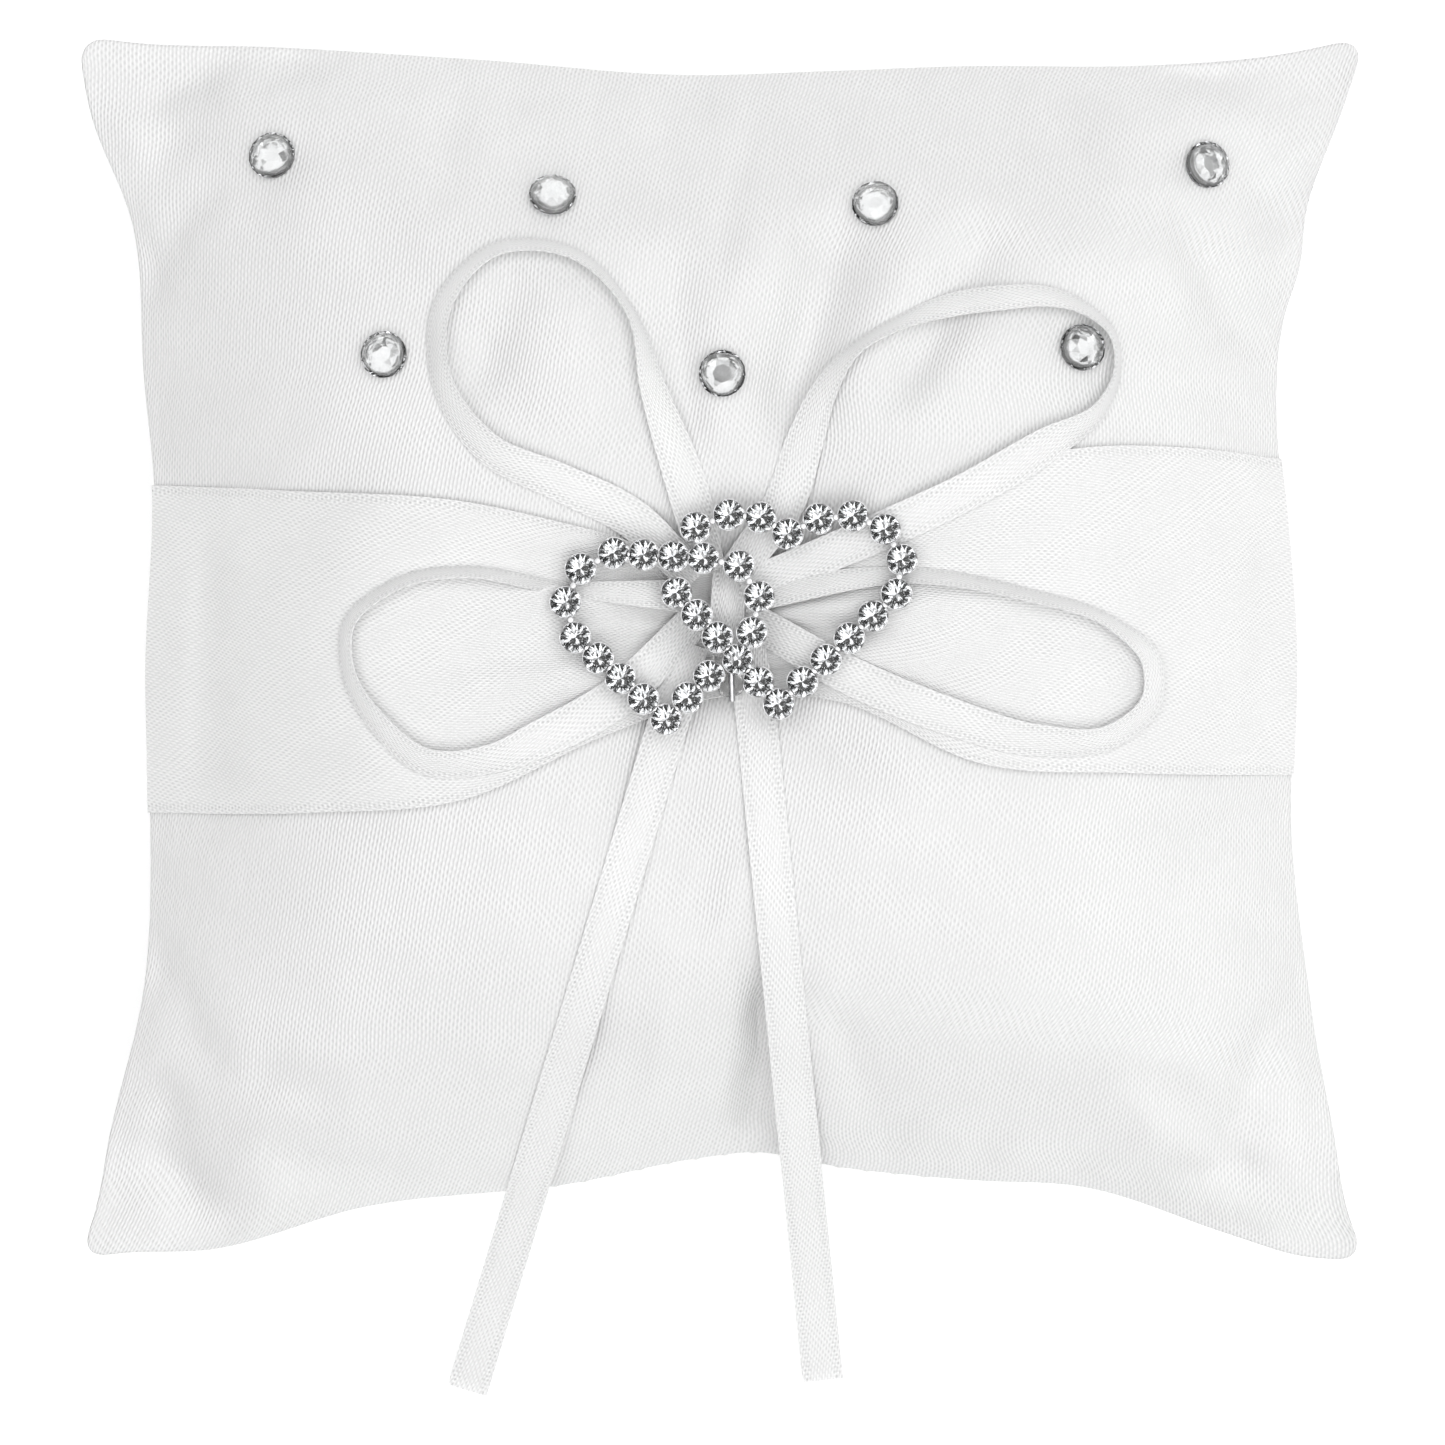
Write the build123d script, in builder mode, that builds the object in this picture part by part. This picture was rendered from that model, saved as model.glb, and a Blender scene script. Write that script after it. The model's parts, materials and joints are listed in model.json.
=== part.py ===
from build123d import *

import math
import os

# A small satin ring bearer pillow, lying face up on a table. The origin is at the middle of
# its underside, X runs along the band, Y up the pillow and Z out of its front.

# ------------------------------------------------------------------ driving dimensions (mm)
PILLOW_WIDTH = 101.9  # between the points where the side seams would meet, unrounded
PILLOW_HEIGHT = 96.4
PULL_LEFT = 6.1  # how far each side is drawn in halfway between its corners
PULL_RIGHT = 6.9
PULL_TOP = 2.9
PULL_BOTTOM = 7.1
SIDE_POWER = 4  # how flat the drawn-in sides run before they flare to the corners
EDGE_POWER = 3
CORNER_RADIUS = 1.5
SEAM_LEVEL = 12.5  # height of the seam above the table
RIM = 0.5  # half the thickness of the edge at the seam
FRONT_CROWN = 14.5  # rise of the front above the seam
BACK_CROWN = 13.5  # fall of the back below it, before the table flattens it
CLOTH = 0.35  # satin of the cover
TURNING = 0.8  # cloth turned in at the seam
CLEARANCE = 0.1  # between soft pieces that lie on each other
GRID_STEP = 4.0  # spacing of the points that define the curved faces

TUFT = (0.0, 1.5)  # where the front is drawn down and the bow is stitched on
TUFT_DEPTH = 3.5
TUFT_RADIUS = 11.0
TUFT_HOLE = 0.5
TUFT_THREAD = 0.25
TUFT_KNOT = 1.2

SEAM_GAP = 0.1  # half the space between the two panels, where the seam thread runs
THREAD_INSET = 0.3
THREAD_WIDTH = 0.25
TURNING_GAP = 32.0  # length of the edge that is closed by hand
STITCH_LENGTH = 2.6
STITCH_COUNT = 8

BAND_THICKNESS = 0.3
BAND_LIFT = CLEARANCE  # clearance of the band above the front
GATHER_THREAD = 0.3
GATHER_SPACING = 1.4

RIBBON_WIDTH = 3.2
RIBBON_THICKNESS = 0.2
RIBBON_LIFT = 0.75  # height of a lying ribbon above the front, over the band
LOOP_STATIONS = 17
LOOP_LEAN = 72.0  # degrees from lying flat, halfway round a loop
ROOT_LEAN = 6.0

KNOT_RADIUS = 4.0
KNOT_BASE = 25.05
KNOT_HEIGHT = 2.1

BROOCH_LEVEL = 28.1
CUP_RADIUS = 1.17
CUP_WALL = 0.13
CUP_HEIGHT = 1.15
CUP_FLOOR = 0.3
STONE_RADIUS = 1.0
STONE_TABLE = 0.58
STONE_CULET = 0.36  # heights above the back of the brooch
STONE_GIRDLE = 1.0
STONE_TOP = 1.5
RAIL_WIDTH = 0.7
RAIL_HEIGHT = 0.3

CRYSTAL_RADIUS = 1.9
CRYSTAL_TABLE = 1.05
CRYSTAL_GIRDLE = 0.25
CRYSTAL_HEIGHT = 1.35
GLUE_RADIUS = 1.3
GLUE_THICKNESS = 0.15

# ------------------------------------------------------------------ plan positions (mm)
BAND_TOP_EDGE = [(-34, 12.3), (-20, 11.4), (-10.5, 9.3), (0, 6.6), (13, 10.4), (27, 15.5), (36, 15.7)]
BAND_BOTTOM_EDGE = [(-32, -12.9), (-20, -11.8), (-9, -6.8), (0, -3.8), (9, -4.2), (20, -9), (32, -9.8)]
BAND_LEFT_END = (12.9, -12.9)
BAND_RIGHT_END = (14.5, -10.0)

# Each loop runs anticlockwise from one root to the other, so that its inside is on the left.
LOOPS = {
    "bow_loop_upper_left": [
        (-2.6, 12.3), (-4.6, 18.0), (-7.3, 26.0), (-11.8, 30.7), (-17.9, 31.0),
        (-22.2, 25.0), (-21.0, 19.1), (-16.0, 14.5), (-8.8, 11.2),
    ],
    "bow_loop_upper_right": [
        (14.8, 10.2), (19.5, 12.4), (25.6, 15.6), (30.4, 19.0), (31.6, 23.2),
        (28.4, 26.9), (21.5, 27.5), (13.7, 25.3), (8.0, 20.2), (5.0, 12.2),
    ],
    "bow_loop_lower_left": [
        (-15.6, 5.3), (-20.5, 6.0), (-26.0, 4.8), (-29.4, 1.0), (-28.4, -3.8),
        (-23.8, -8.4), (-17.6, -8.2), (-11.2, -5.6),
    ],
    "bow_loop_lower_right": [
        (12.4, -3.6), (17.6, -5.8), (24.5, -7.4), (30.6, -6.6), (33.9, -2.6),
        (31.0, 1.9), (24.5, 4.2), (17.2, 5.2),
    ],
}

# Where each tail leaves the brooch, and its cut end.
TAILS = {
    "left_tail": ((-5.0, -8.4), (-20.1, -58.4)),
    "right_tail": ((2.9, -8.0), (7.9, -57.6)),
}
TAIL_LEAVES = 5.5  # distance inside the edge where a tail leaves the pillow's front
TAIL_FOLD = 1.2  # distance beyond the edge of the fold between the tail and its hanging end
TAIL_END_HEIGHT = 0.3
TAIL_END_SLOPE = -0.5
FOLD_GAP = 0.3

# Each heart as runs of the chain of stones: start, a point halfway round if the run is an
# arc, end, and the number of stones from the start up to the end.
LEFT_HEART = [
    ((-4.4, -5.6), None, (-11.5, 0.8), 4),
    ((-11.5, 0.8), (-11.9, 5.0), (-8.5, 7.4), 3),
    ((-8.5, 7.4), None, (-1.5, 7.0), 3),
    ((-1.5, 7.0), (2.3, 5.4), (2.3, 1.2), 3),
    ((2.3, 1.2), None, (-4.4, -5.6), 4),
]
RIGHT_HEART = [
    ((4.4, -4.4), None, (13.6, 4.2), 5),
    ((13.6, 4.2), (13.5, 8.3), (10.2, 10.3), 3),
    ((10.2, 10.3), (7.6, 10.1), (5.1, 8.9), 2),
    ((5.1, 8.9), (2.9, 10.2), (0.5, 10.4), 2),
    ((0.5, 10.4), (-3.1, 8.3), (-3.6, 4.3), 3),
    ((-3.6, 4.3), None, (4.4, -4.4), 5),
]
CROSSING_STONE = 14  # the stone that each heart leaves out where the other passes over it
BAR = (0.7, -2.2, 0.5, 4.0)  # centre and size of the bar that joins the hearts

CRYSTALS = {
    "crystal_upper_1": (-35.1, 38.3),
    "crystal_upper_2": (-13.3, 35.0),
    "crystal_upper_3": (12.0, 34.4),
    "crystal_upper_4": (37.7, 37.7),
    "crystal_lower_1": (-26.3, 22.8),
    "crystal_lower_2": (0.0, 21.4),
    "crystal_lower_3": (27.9, 23.4),
}


# ------------------------------------------------------------------ shape of the pillow
def seam_x(side, y):
    """Distance of the left (side < 0) or right seam from the Y axis."""
    pull = PULL_RIGHT if side > 0 else PULL_LEFT
    return PILLOW_WIDTH / 2 - pull * (1 - abs(2 * y / PILLOW_HEIGHT) ** SIDE_POWER)


def seam_y(side, x):
    """Distance of the bottom (side < 0) or top seam from the X axis."""
    pull = PULL_TOP if side > 0 else PULL_BOTTOM
    return PILLOW_HEIGHT / 2 - pull * (1 - abs(2 * x / PILLOW_WIDTH) ** EDGE_POWER)


def swell(x, y):
    """One in the middle of the pillow, falling to nothing at the seam."""
    across = x / seam_x(x, y)
    along = y / seam_y(y, x)
    return (1 - across**4) * (1 - along**4)


def front_height(x, y):
    distance = math.hypot(x - TUFT[0], y - TUFT[1])
    dimple = TUFT_DEPTH * math.exp(-((distance / TUFT_RADIUS) ** 2))
    return SEAM_LEVEL + RIM + FRONT_CROWN * swell(x, y) - dimple


def back_height(x, y):
    return SEAM_LEVEL - RIM - BACK_CROWN * swell(x, y)


def curved_face(height):
    """The whole of one face of the pillow, carried a little past the seam."""
    columns = round(PILLOW_WIDTH / GRID_STEP) + 2
    rows = round(PILLOW_HEIGHT / GRID_STEP) + 2
    grid = []
    for i in range(columns + 1):
        x = (i - columns / 2) * GRID_STEP
        line = []
        for j in range(rows + 1):
            y = (j - rows / 2) * GRID_STEP
            line.append((x, y, height(x, y)))
        grid.append(line)
    return Face.make_surface_from_array_of_points(grid, tol=0.005)


FRONT_FACE = curved_face(front_height)
BACK_FACE = curved_face(back_height)


def seam_outline(inset, level):
    """Plan outline of the pillow at a height, drawn in by inset all round."""
    half_width = PILLOW_WIDTH / 2
    half_height = PILLOW_HEIGHT / 2
    steps = [-1, -0.85, -0.65, -0.35, 0, 0.35, 0.65, 0.85, 1]
    with BuildSketch(Plane.XY.offset(level)) as outline:
        with BuildLine():
            for side in (-1, 1):
                Spline([
                    (side * (seam_x(side, t * half_height) - inset), t * (half_height - inset))
                    for t in steps
                ])
                Spline([
                    (t * (half_width - inset), side * (seam_y(side, t * half_width) - inset))
                    for t in steps
                ])
        make_face()
        fillet(outline.vertices(), radius=CORNER_RADIUS)
    return outline.sketch


def pillow_block(inset, drop):
    """The pillow's shape, drawn in by inset at the seam and by drop on both faces."""
    with BuildPart() as block:
        extrude(seam_outline(inset, drop), amount=SEAM_LEVEL + RIM + FRONT_CROWN)
        split(bisect_by=FRONT_FACE.moved(Location((0, 0, -drop))), keep=Keep.BOTTOM)
        split(bisect_by=BACK_FACE.moved(Location((0, 0, drop))), keep=Keep.TOP)
    return block.part


def on_front(profile, lift, thickness):
    """A sheet with a plan profile that follows the front, lift above it."""
    with BuildPart() as sheet:
        extrude(profile, amount=SEAM_LEVEL + FRONT_CROWN + 5)
        split(bisect_by=FRONT_FACE.moved(Location((0, 0, lift))), keep=Keep.TOP)
        split(bisect_by=FRONT_FACE.moved(Location((0, 0, lift + thickness))), keep=Keep.BOTTOM)
    return sheet.part


def seam_ring():
    """The line of thread between the two panels, all the way round."""
    level = SEAM_LEVEL - SEAM_GAP
    with BuildPart() as ring:
        extrude(seam_outline(THREAD_INSET, level), amount=2 * SEAM_GAP)
        extrude(seam_outline(THREAD_INSET + THREAD_WIDTH, level), amount=2 * SEAM_GAP, mode=Mode.SUBTRACT)
    return ring.part


# ------------------------------------------------------------------ cover and filling
whole_pillow = pillow_block(0, 0)
cover_inside = pillow_block(TURNING, CLOTH)

with BuildPart() as front_panel:
    add(whole_pillow)
    split(bisect_by=Plane.XY.offset(SEAM_LEVEL + SEAM_GAP), keep=Keep.TOP)
    add(cover_inside, mode=Mode.SUBTRACT)
    with Locations((*TUFT, SEAM_LEVEL + FRONT_CROWN)):
        Hole(radius=TUFT_HOLE)

with BuildPart() as back_panel:
    add(whole_pillow)
    split(bisect_by=Plane.XY.offset(SEAM_LEVEL - SEAM_GAP), keep=Keep.BOTTOM)
    add(cover_inside, mode=Mode.SUBTRACT)

with BuildPart() as fibre_filling:
    add(pillow_block(TURNING + CLEARANCE, CLOTH + CLEARANCE))
    with Locations((*TUFT, SEAM_LEVEL + FRONT_CROWN)):
        Hole(radius=TUFT_HOLE)

with BuildPart() as edge_seam_thread:
    add(seam_ring())
    with Locations((0, -PILLOW_HEIGHT / 2, SEAM_LEVEL)):
        Box(TURNING_GAP, PILLOW_HEIGHT / 2, 4 * SEAM_GAP, mode=Mode.SUBTRACT)

with BuildPart() as closing_stitches:
    with Locations((0, -PILLOW_HEIGHT / 2, SEAM_LEVEL)):
        with GridLocations(TURNING_GAP / STITCH_COUNT, 0, STITCH_COUNT, 1):
            Box(STITCH_LENGTH, PILLOW_HEIGHT / 2, 4 * SEAM_GAP)
    add(seam_ring(), mode=Mode.INTERSECT)

# The tuft thread is knotted inside the back panel and comes out under the bow.
with BuildPart() as tuft_thread:
    with BuildSketch(Plane.XY.offset(CLOTH)):
        with Locations(TUFT):
            Circle(TUFT_THREAD)
    extrude(amount=KNOT_BASE - CLOTH)
    with BuildSketch(Plane.XY.offset(CLOTH)):
        with Locations(TUFT):
            Circle(TUFT_KNOT)
    extrude(amount=CLEARANCE)


# ------------------------------------------------------------------ band
with BuildSketch() as band_profile:
    with BuildLine():
        left = -seam_x(-1, 0) + CLEARANCE
        right = seam_x(1, 0) - CLEARANCE
        Spline([(left, BAND_LEFT_END[0]), *BAND_TOP_EDGE, (right, BAND_RIGHT_END[0])])
        Spline([(left, BAND_LEFT_END[1]), *BAND_BOTTOM_EDGE, (right, BAND_RIGHT_END[1])])
        Line((left, BAND_LEFT_END[0]), (left, BAND_LEFT_END[1]))
        Line((right, BAND_RIGHT_END[0]), (right, BAND_RIGHT_END[1]))
    make_face()

with BuildPart() as wide_band:
    add(on_front(band_profile.sketch, BAND_LIFT, BAND_THICKNESS))
    with Locations((*TUFT, SEAM_LEVEL + FRONT_CROWN)):
        Hole(radius=TUFT_HOLE)

with BuildSketch() as gather_profile:
    with Locations((TUFT[0], TUFT[1])):
        with GridLocations(GATHER_SPACING, 0, 2, 1):
            Rectangle(GATHER_THREAD, 8)

with BuildPart() as band_gather_thread:
    add(on_front(gather_profile.sketch, BAND_LIFT + BAND_THICKNESS, GATHER_THREAD))


# ------------------------------------------------------------------ narrow ribbon
def strip(centres, acrosses):
    """Narrow ribbon lofted through its centre points and width directions."""
    last = len(centres) - 1
    with BuildPart() as ribbon:
        for i, (centre, across) in enumerate(zip(centres, acrosses)):
            along = (centres[min(i + 1, last)] - centres[max(i - 1, 0)]).normalized()
            square = across - along * across.dot(along)
            with BuildSketch(Plane(origin=centre, x_dir=square, z_dir=along)):
                Rectangle(RIBBON_WIDTH, RIBBON_THICKNESS)
        loft()
    return ribbon.part


def loop_strip(points):
    """A loop that lies at its roots and leans up on its outer edge halfway round."""
    with BuildLine() as plan:
        Spline(points)
    centres = []
    acrosses = []
    for i in range(LOOP_STATIONS):
        t = i / (LOOP_STATIONS - 1)
        lean = math.radians(ROOT_LEAN + (LOOP_LEAN - ROOT_LEAN) * math.sin(math.pi * t) ** 0.8)
        place = plan.line @ t
        heading = plan.line % t
        inward = Vector(-heading.Y, heading.X, 0)
        across = inward * math.cos(lean) + Vector(0, 0, math.sin(lean))
        outer = place - inward * (RIBBON_WIDTH / 2 * math.cos(lean))
        inner = place + inward * (RIBBON_WIDTH / 2 * math.cos(lean))
        lying = max(front_height(p.X, p.Y) for p in (outer, place))
        rise = max(RIBBON_WIDTH / 2 * math.sin(lean), front_height(inner.X, inner.Y) - lying)
        centres.append(Vector(place.X, place.Y, lying + RIBBON_LIFT + rise))
        acrosses.append(across)
    return strip(centres, acrosses)


def edge_distance(root, heading):
    """Distance along a tail's plan line from its root to the pillow's bottom edge."""
    reach = 0.0
    while (root + heading * reach).Y > -seam_y(-1, (root + heading * reach).X):
        reach += 0.05
    return reach


def tail_height(point, leaves, leave_slope, end):
    """Height of a tail: on the front up to where it leaves it, then sagging to the table."""
    if point.Y > leaves.Y:
        return front_height(point.X, point.Y) + RIBBON_LIFT
    start = front_height(leaves.X, leaves.Y) + RIBBON_LIFT
    length = (end - leaves).length
    t = (point - leaves).length / length
    ease_in = t**3 - 2 * t**2 + t
    ease_out = t**3 - t**2
    blend = 2 * t**3 - 3 * t**2 + 1
    level = start * blend + TAIL_END_HEIGHT * (1 - blend)
    return level + length * (leave_slope * ease_in + TAIL_END_SLOPE * ease_out)


def tail_strip(root, end, first, last, count):
    """Part of a tail, between the distances first and last along its plan line."""
    root = Vector(*root)
    end = Vector(*end)
    heading = (end - root).normalized()
    across = Vector(-heading.Y, heading.X, 0)
    leaves = root + heading * (edge_distance(root, heading) - TAIL_LEAVES)
    behind = leaves - heading
    leave_slope = front_height(leaves.X, leaves.Y) - front_height(behind.X, behind.Y)
    centres = []
    for i in range(count):
        point = root + heading * (first + (last - first) * i / (count - 1))
        centres.append(Vector(point.X, point.Y, tail_height(point, leaves, leave_slope, end)))
    return strip(centres, [across] * count)


loops = {}
for name, points in LOOPS.items():
    with BuildPart() as loop:
        add(loop_strip(points))
    loops[name] = loop

tails = {}
for name, (root, end) in TAILS.items():
    length = (Vector(*end) - Vector(*root)).length
    fold = edge_distance(Vector(*root), (Vector(*end) - Vector(*root)).normalized()) + TAIL_FOLD
    with BuildPart() as tail:
        add(tail_strip(root, end, 0, fold - FOLD_GAP / 2, 9))
    tails[name] = tail
    with BuildPart() as tail_end:
        add(tail_strip(root, end, fold + FOLD_GAP / 2, length, 6))
    tails[name + "_end"] = tail_end


# The middle of the bow: the folded ribbon stitched down, with the stub of every branch.
def branch_stub(root):
    """Ribbon from the middle of the bow to just short of a branch's root."""
    middle = Vector(*TUFT, KNOT_BASE + KNOT_HEIGHT / 2)
    reach = Vector(root[0] - TUFT[0], root[1] - TUFT[1], 0)
    heading = reach.normalized()
    stop = Vector(*TUFT, 0) + reach - heading * (RIBBON_WIDTH / 2 + FOLD_GAP)
    stop = Vector(stop.X, stop.Y, front_height(stop.X, stop.Y) + RIBBON_LIFT)
    across = Vector(-heading.Y, heading.X, 0)
    return strip([middle, stop], [across, across])


with BuildPart() as bow_knot:
    with BuildSketch(Plane.XY.offset(KNOT_BASE)):
        with Locations(TUFT):
            Circle(KNOT_RADIUS)
    extrude(amount=KNOT_HEIGHT)
    fillet(bow_knot.edges().filter_by(GeomType.CIRCLE), radius=0.8)
    for points in LOOPS.values():
        add(branch_stub(points[0]))
        add(branch_stub(points[-1]))
    for root, end in TAILS.values():
        add(branch_stub(root))


# ------------------------------------------------------------------ brooch
def heart_line(runs):
    """Closed centre line of a heart."""
    with BuildLine(Plane.XY.offset(BROOCH_LEVEL)) as heart:
        for start, middle, end, _ in runs:
            if middle:
                ThreePointArc(start, middle, end)
            else:
                Line(start, end)
    return heart.line


def stone_centres(heart, runs):
    """Places of the stones, evenly spaced along each run."""
    places = []
    for edge, (_, _, _, stones) in zip(heart.edges(), runs):
        places += [edge @ (i / stones) for i in range(stones)]
    del places[CROSSING_STONE]
    return places


left_heart = heart_line(LEFT_HEART)
right_heart = heart_line(RIGHT_HEART)
left_centres = stone_centres(left_heart, LEFT_HEART)
right_centres = stone_centres(right_heart, RIGHT_HEART)

with BuildPart() as cup:
    with BuildSketch(Plane.XZ):
        with BuildLine():
            Polyline(
                (0, 0), (CUP_RADIUS * 0.75, 0), (CUP_RADIUS, CUP_FLOOR), (CUP_RADIUS, CUP_HEIGHT),
                (CUP_RADIUS - CUP_WALL, CUP_HEIGHT), (CUP_RADIUS - CUP_WALL, STONE_GIRDLE - 0.1),
                (0, CUP_FLOOR), close=True,
            )
        make_face()
    revolve(axis=Axis.Z)

with BuildPart() as chaton:
    with BuildSketch(Plane.XZ):
        with BuildLine():
            Polyline(
                (0, STONE_CULET), (STONE_RADIUS, STONE_GIRDLE), (STONE_TABLE, STONE_TOP), (0, STONE_TOP),
                close=True,
            )
        make_face()
    revolve(axis=Axis.Z)

with BuildPart() as brooch_frame:
    for heart in (left_heart, right_heart):
        with BuildSketch(Plane.XY.offset(BROOCH_LEVEL)):
            trace(heart.edges(), line_width=RAIL_WIDTH)
        extrude(amount=RAIL_HEIGHT)
    with Locations((BAR[0], BAR[1], BROOCH_LEVEL + RAIL_HEIGHT / 2)):
        Box(BAR[2], BAR[3], RAIL_HEIGHT)
    with Locations(*left_centres, *right_centres):
        add(cup.part)

with BuildPart() as left_heart_stones:
    with Locations(*left_centres):
        add(chaton.part)

with BuildPart() as right_heart_stones:
    with Locations(*right_centres):
        add(chaton.part)

with BuildPart() as brooch_glue:
    with BuildSketch(Plane.XY.offset(KNOT_BASE + KNOT_HEIGHT)):
        with Locations((BAR[0], TUFT[1] - KNOT_RADIUS / 2)):
            Circle(GLUE_RADIUS)
    extrude(amount=BROOCH_LEVEL - KNOT_BASE - KNOT_HEIGHT)


# ------------------------------------------------------------------ flat-back crystals
def resting_plane(x, y, gap):
    """Plane on the front at a point, square to it and gap above it."""
    step = 0.5
    slope_x = (front_height(x + step, y) - front_height(x - step, y)) / (2 * step)
    slope_y = (front_height(x, y + step) - front_height(x, y - step)) / (2 * step)
    normal = Vector(-slope_x, -slope_y, 1).normalized()
    return Plane(origin=Vector(x, y, front_height(x, y)) + normal * gap, z_dir=normal)


crystals = {}
for name, (x, y) in CRYSTALS.items():
    with BuildPart() as crystal:
        base = resting_plane(x, y, CLEARANCE + GLUE_THICKNESS)
        with BuildSketch(base):
            Circle(CRYSTAL_RADIUS)
        extrude(amount=CRYSTAL_GIRDLE)
        with BuildSketch(base.offset(CRYSTAL_GIRDLE)):
            Circle(CRYSTAL_RADIUS)
        with BuildSketch(base.offset(CRYSTAL_HEIGHT)):
            Circle(CRYSTAL_TABLE)
        loft()
    crystals[name] = crystal

with BuildPart() as crystal_glue_dots:
    for x, y in CRYSTALS.values():
        with BuildSketch(resting_plane(x, y, CLEARANCE)):
            Circle(GLUE_RADIUS)
        extrude(amount=GLUE_THICKNESS)


# ------------------------------------------------------------------ export
pieces = {
    "front_panel": front_panel,
    "back_panel": back_panel,
    "fibre_filling": fibre_filling,
    "edge_seam_thread": edge_seam_thread,
    "closing_stitches": closing_stitches,
    "tuft_thread": tuft_thread,
    "wide_band": wide_band,
    "band_gather_thread": band_gather_thread,
    "bow_knot": bow_knot,
    **loops,
    **tails,
    "brooch_frame": brooch_frame,
    "left_heart_stones": left_heart_stones,
    "right_heart_stones": right_heart_stones,
    "brooch_glue": brooch_glue,
    **crystals,
    "crystal_glue_dots": crystal_glue_dots,
}

os.makedirs("parts", exist_ok=True)
for name, piece in pieces.items():
    piece.part.label = name
    export_step(piece.part, f"parts/{name}.step")
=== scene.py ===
import json
import math
import random

import bpy
import numpy as np
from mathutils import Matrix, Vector
from mathutils.bvhtree import BVHTree


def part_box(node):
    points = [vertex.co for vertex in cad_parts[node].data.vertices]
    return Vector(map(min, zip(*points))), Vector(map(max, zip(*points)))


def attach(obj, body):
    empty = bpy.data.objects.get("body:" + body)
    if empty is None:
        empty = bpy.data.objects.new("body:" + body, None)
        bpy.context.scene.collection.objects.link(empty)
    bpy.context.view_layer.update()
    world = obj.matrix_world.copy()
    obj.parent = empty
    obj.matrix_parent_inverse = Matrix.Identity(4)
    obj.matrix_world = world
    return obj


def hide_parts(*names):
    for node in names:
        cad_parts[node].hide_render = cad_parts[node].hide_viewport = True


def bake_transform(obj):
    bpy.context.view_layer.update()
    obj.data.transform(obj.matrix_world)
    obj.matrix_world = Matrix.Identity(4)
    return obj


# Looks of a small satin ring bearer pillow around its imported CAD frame. Lengths are in
# millimetres until a piece is made, and X, Y and Z are those of the CAD part.

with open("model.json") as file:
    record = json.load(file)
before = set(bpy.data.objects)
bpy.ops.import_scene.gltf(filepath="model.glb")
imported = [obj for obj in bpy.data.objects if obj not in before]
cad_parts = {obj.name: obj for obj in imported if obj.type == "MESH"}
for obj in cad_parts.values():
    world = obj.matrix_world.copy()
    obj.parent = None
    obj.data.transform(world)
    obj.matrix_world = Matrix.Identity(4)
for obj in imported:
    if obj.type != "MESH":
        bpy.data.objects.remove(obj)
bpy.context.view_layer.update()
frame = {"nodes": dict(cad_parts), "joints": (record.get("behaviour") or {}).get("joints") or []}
random.seed(7)

MM = 0.001

# ------------------------------------------------------------------ cover (the curves of the CAD cover)
HALF_WIDTH = 50.95
HALF_HEIGHT = 48.2
PULL = {"left": 6.1, "right": 6.9, "top": 2.9, "bottom": 7.1}
SIDE_POWER = 4
EDGE_POWER = 3
CORNER = 0.05  # share of the half width that a rounded corner takes
RIM = 0.5
FRONT_CROWN = 14.5
BACK_CROWN = 13.5
TUFT_DEPTH = 3.5
TUFT_RADIUS = 11.0
COLUMNS = 104
ROWS = 98
NOWHERE = -1000.0  # height that stands for "nothing is there"

# How far the sewn edge wanders out from its smooth curve: place along the side, distance.
SEAM_WANDER = {
    "left": [
        (-48, 0), (-46, 0), (-38, 0.9), (-26, 0), (-10, 0.15), (-2, 0.3),
        (12, -0.25), (22, 0.4), (33, 0.1), (42, 1.3), (48, 0),
    ],
    "right": [
        (-48, 0), (-46, 0), (-38, 1.3), (-28, 1.4), (-14, 0.6), (0, 0.9), (10, 0.2),
        (18, -0.65), (26, -0.5), (30, 0.3), (34, 0.05), (42, 0.6), (48, 0),
    ],
    "top": [
        (-51, 0), (-46, 0.1), (-36, 0.9), (-20, 0.8), (-2, -0.3),
        (8, 0), (20, 0.25), (32, -0.3), (44, -0.5), (51, 0),
    ],
    "bottom": [
        (-51, 0), (-48, 0.6), (-40, 2.7), (-28, 1.6), (-12, 0.9), (-2, -1.0), (2.5, -1.5),
        (9, -0.4), (20, 0.3), (28, 0), (40, 1.6), (45, 1.7), (51, 0),
    ],
}

# Soft folds of the front: where each starts and ends, half width, rise (negative for a valley).
FOLDS = [
    ((3.8, 14), (9.6, 33), 3.6, -2.4),
    ((12, 17), (20.8, 32), 2.8, -1.5),
    ((-2.2, 13), (-4.4, 30), 2.2, -0.9),
    ((-39.8, 13.5), (-39.8, -14), 2.9, -1.9),
    ((42.6, 13), (42.2, -9), 2.1, -1.2),
    ((-13, 16), (-28.5, 33), 3.4, -0.7),
    ((1.5, 12), (3, 36), 3.4, 0.3),
    ((-9, 14), (-14, 34), 4.0, 0.3),
    ((-20, 17), (-15.5, 29), 2.4, -0.5),
    ((3.4, -24), (2.2, -39), 1.9, -1.9),
    ((-9, -26), (-16.5, -39), 2.2, -1.1),
    ((7.5, -26), (13.5, -39), 2.0, -0.9),
    ((-3.5, -24), (-6.5, -40), 3.4, 0.6),
    ((8, -22), (8.5, -38), 2.4, 0.4),
    ((30, -30), (44, -44), 3.0, -0.8),
    ((-33, -30), (-44, -44), 3.0, -0.6),
    ((33, 31), (44, 42), 3.0, -0.5),
    ((-33, 31), (-44, 42), 3.0, -0.45),
    ((30, 24), (42.5, 25.5), 2.4, -0.35),
]

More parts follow.
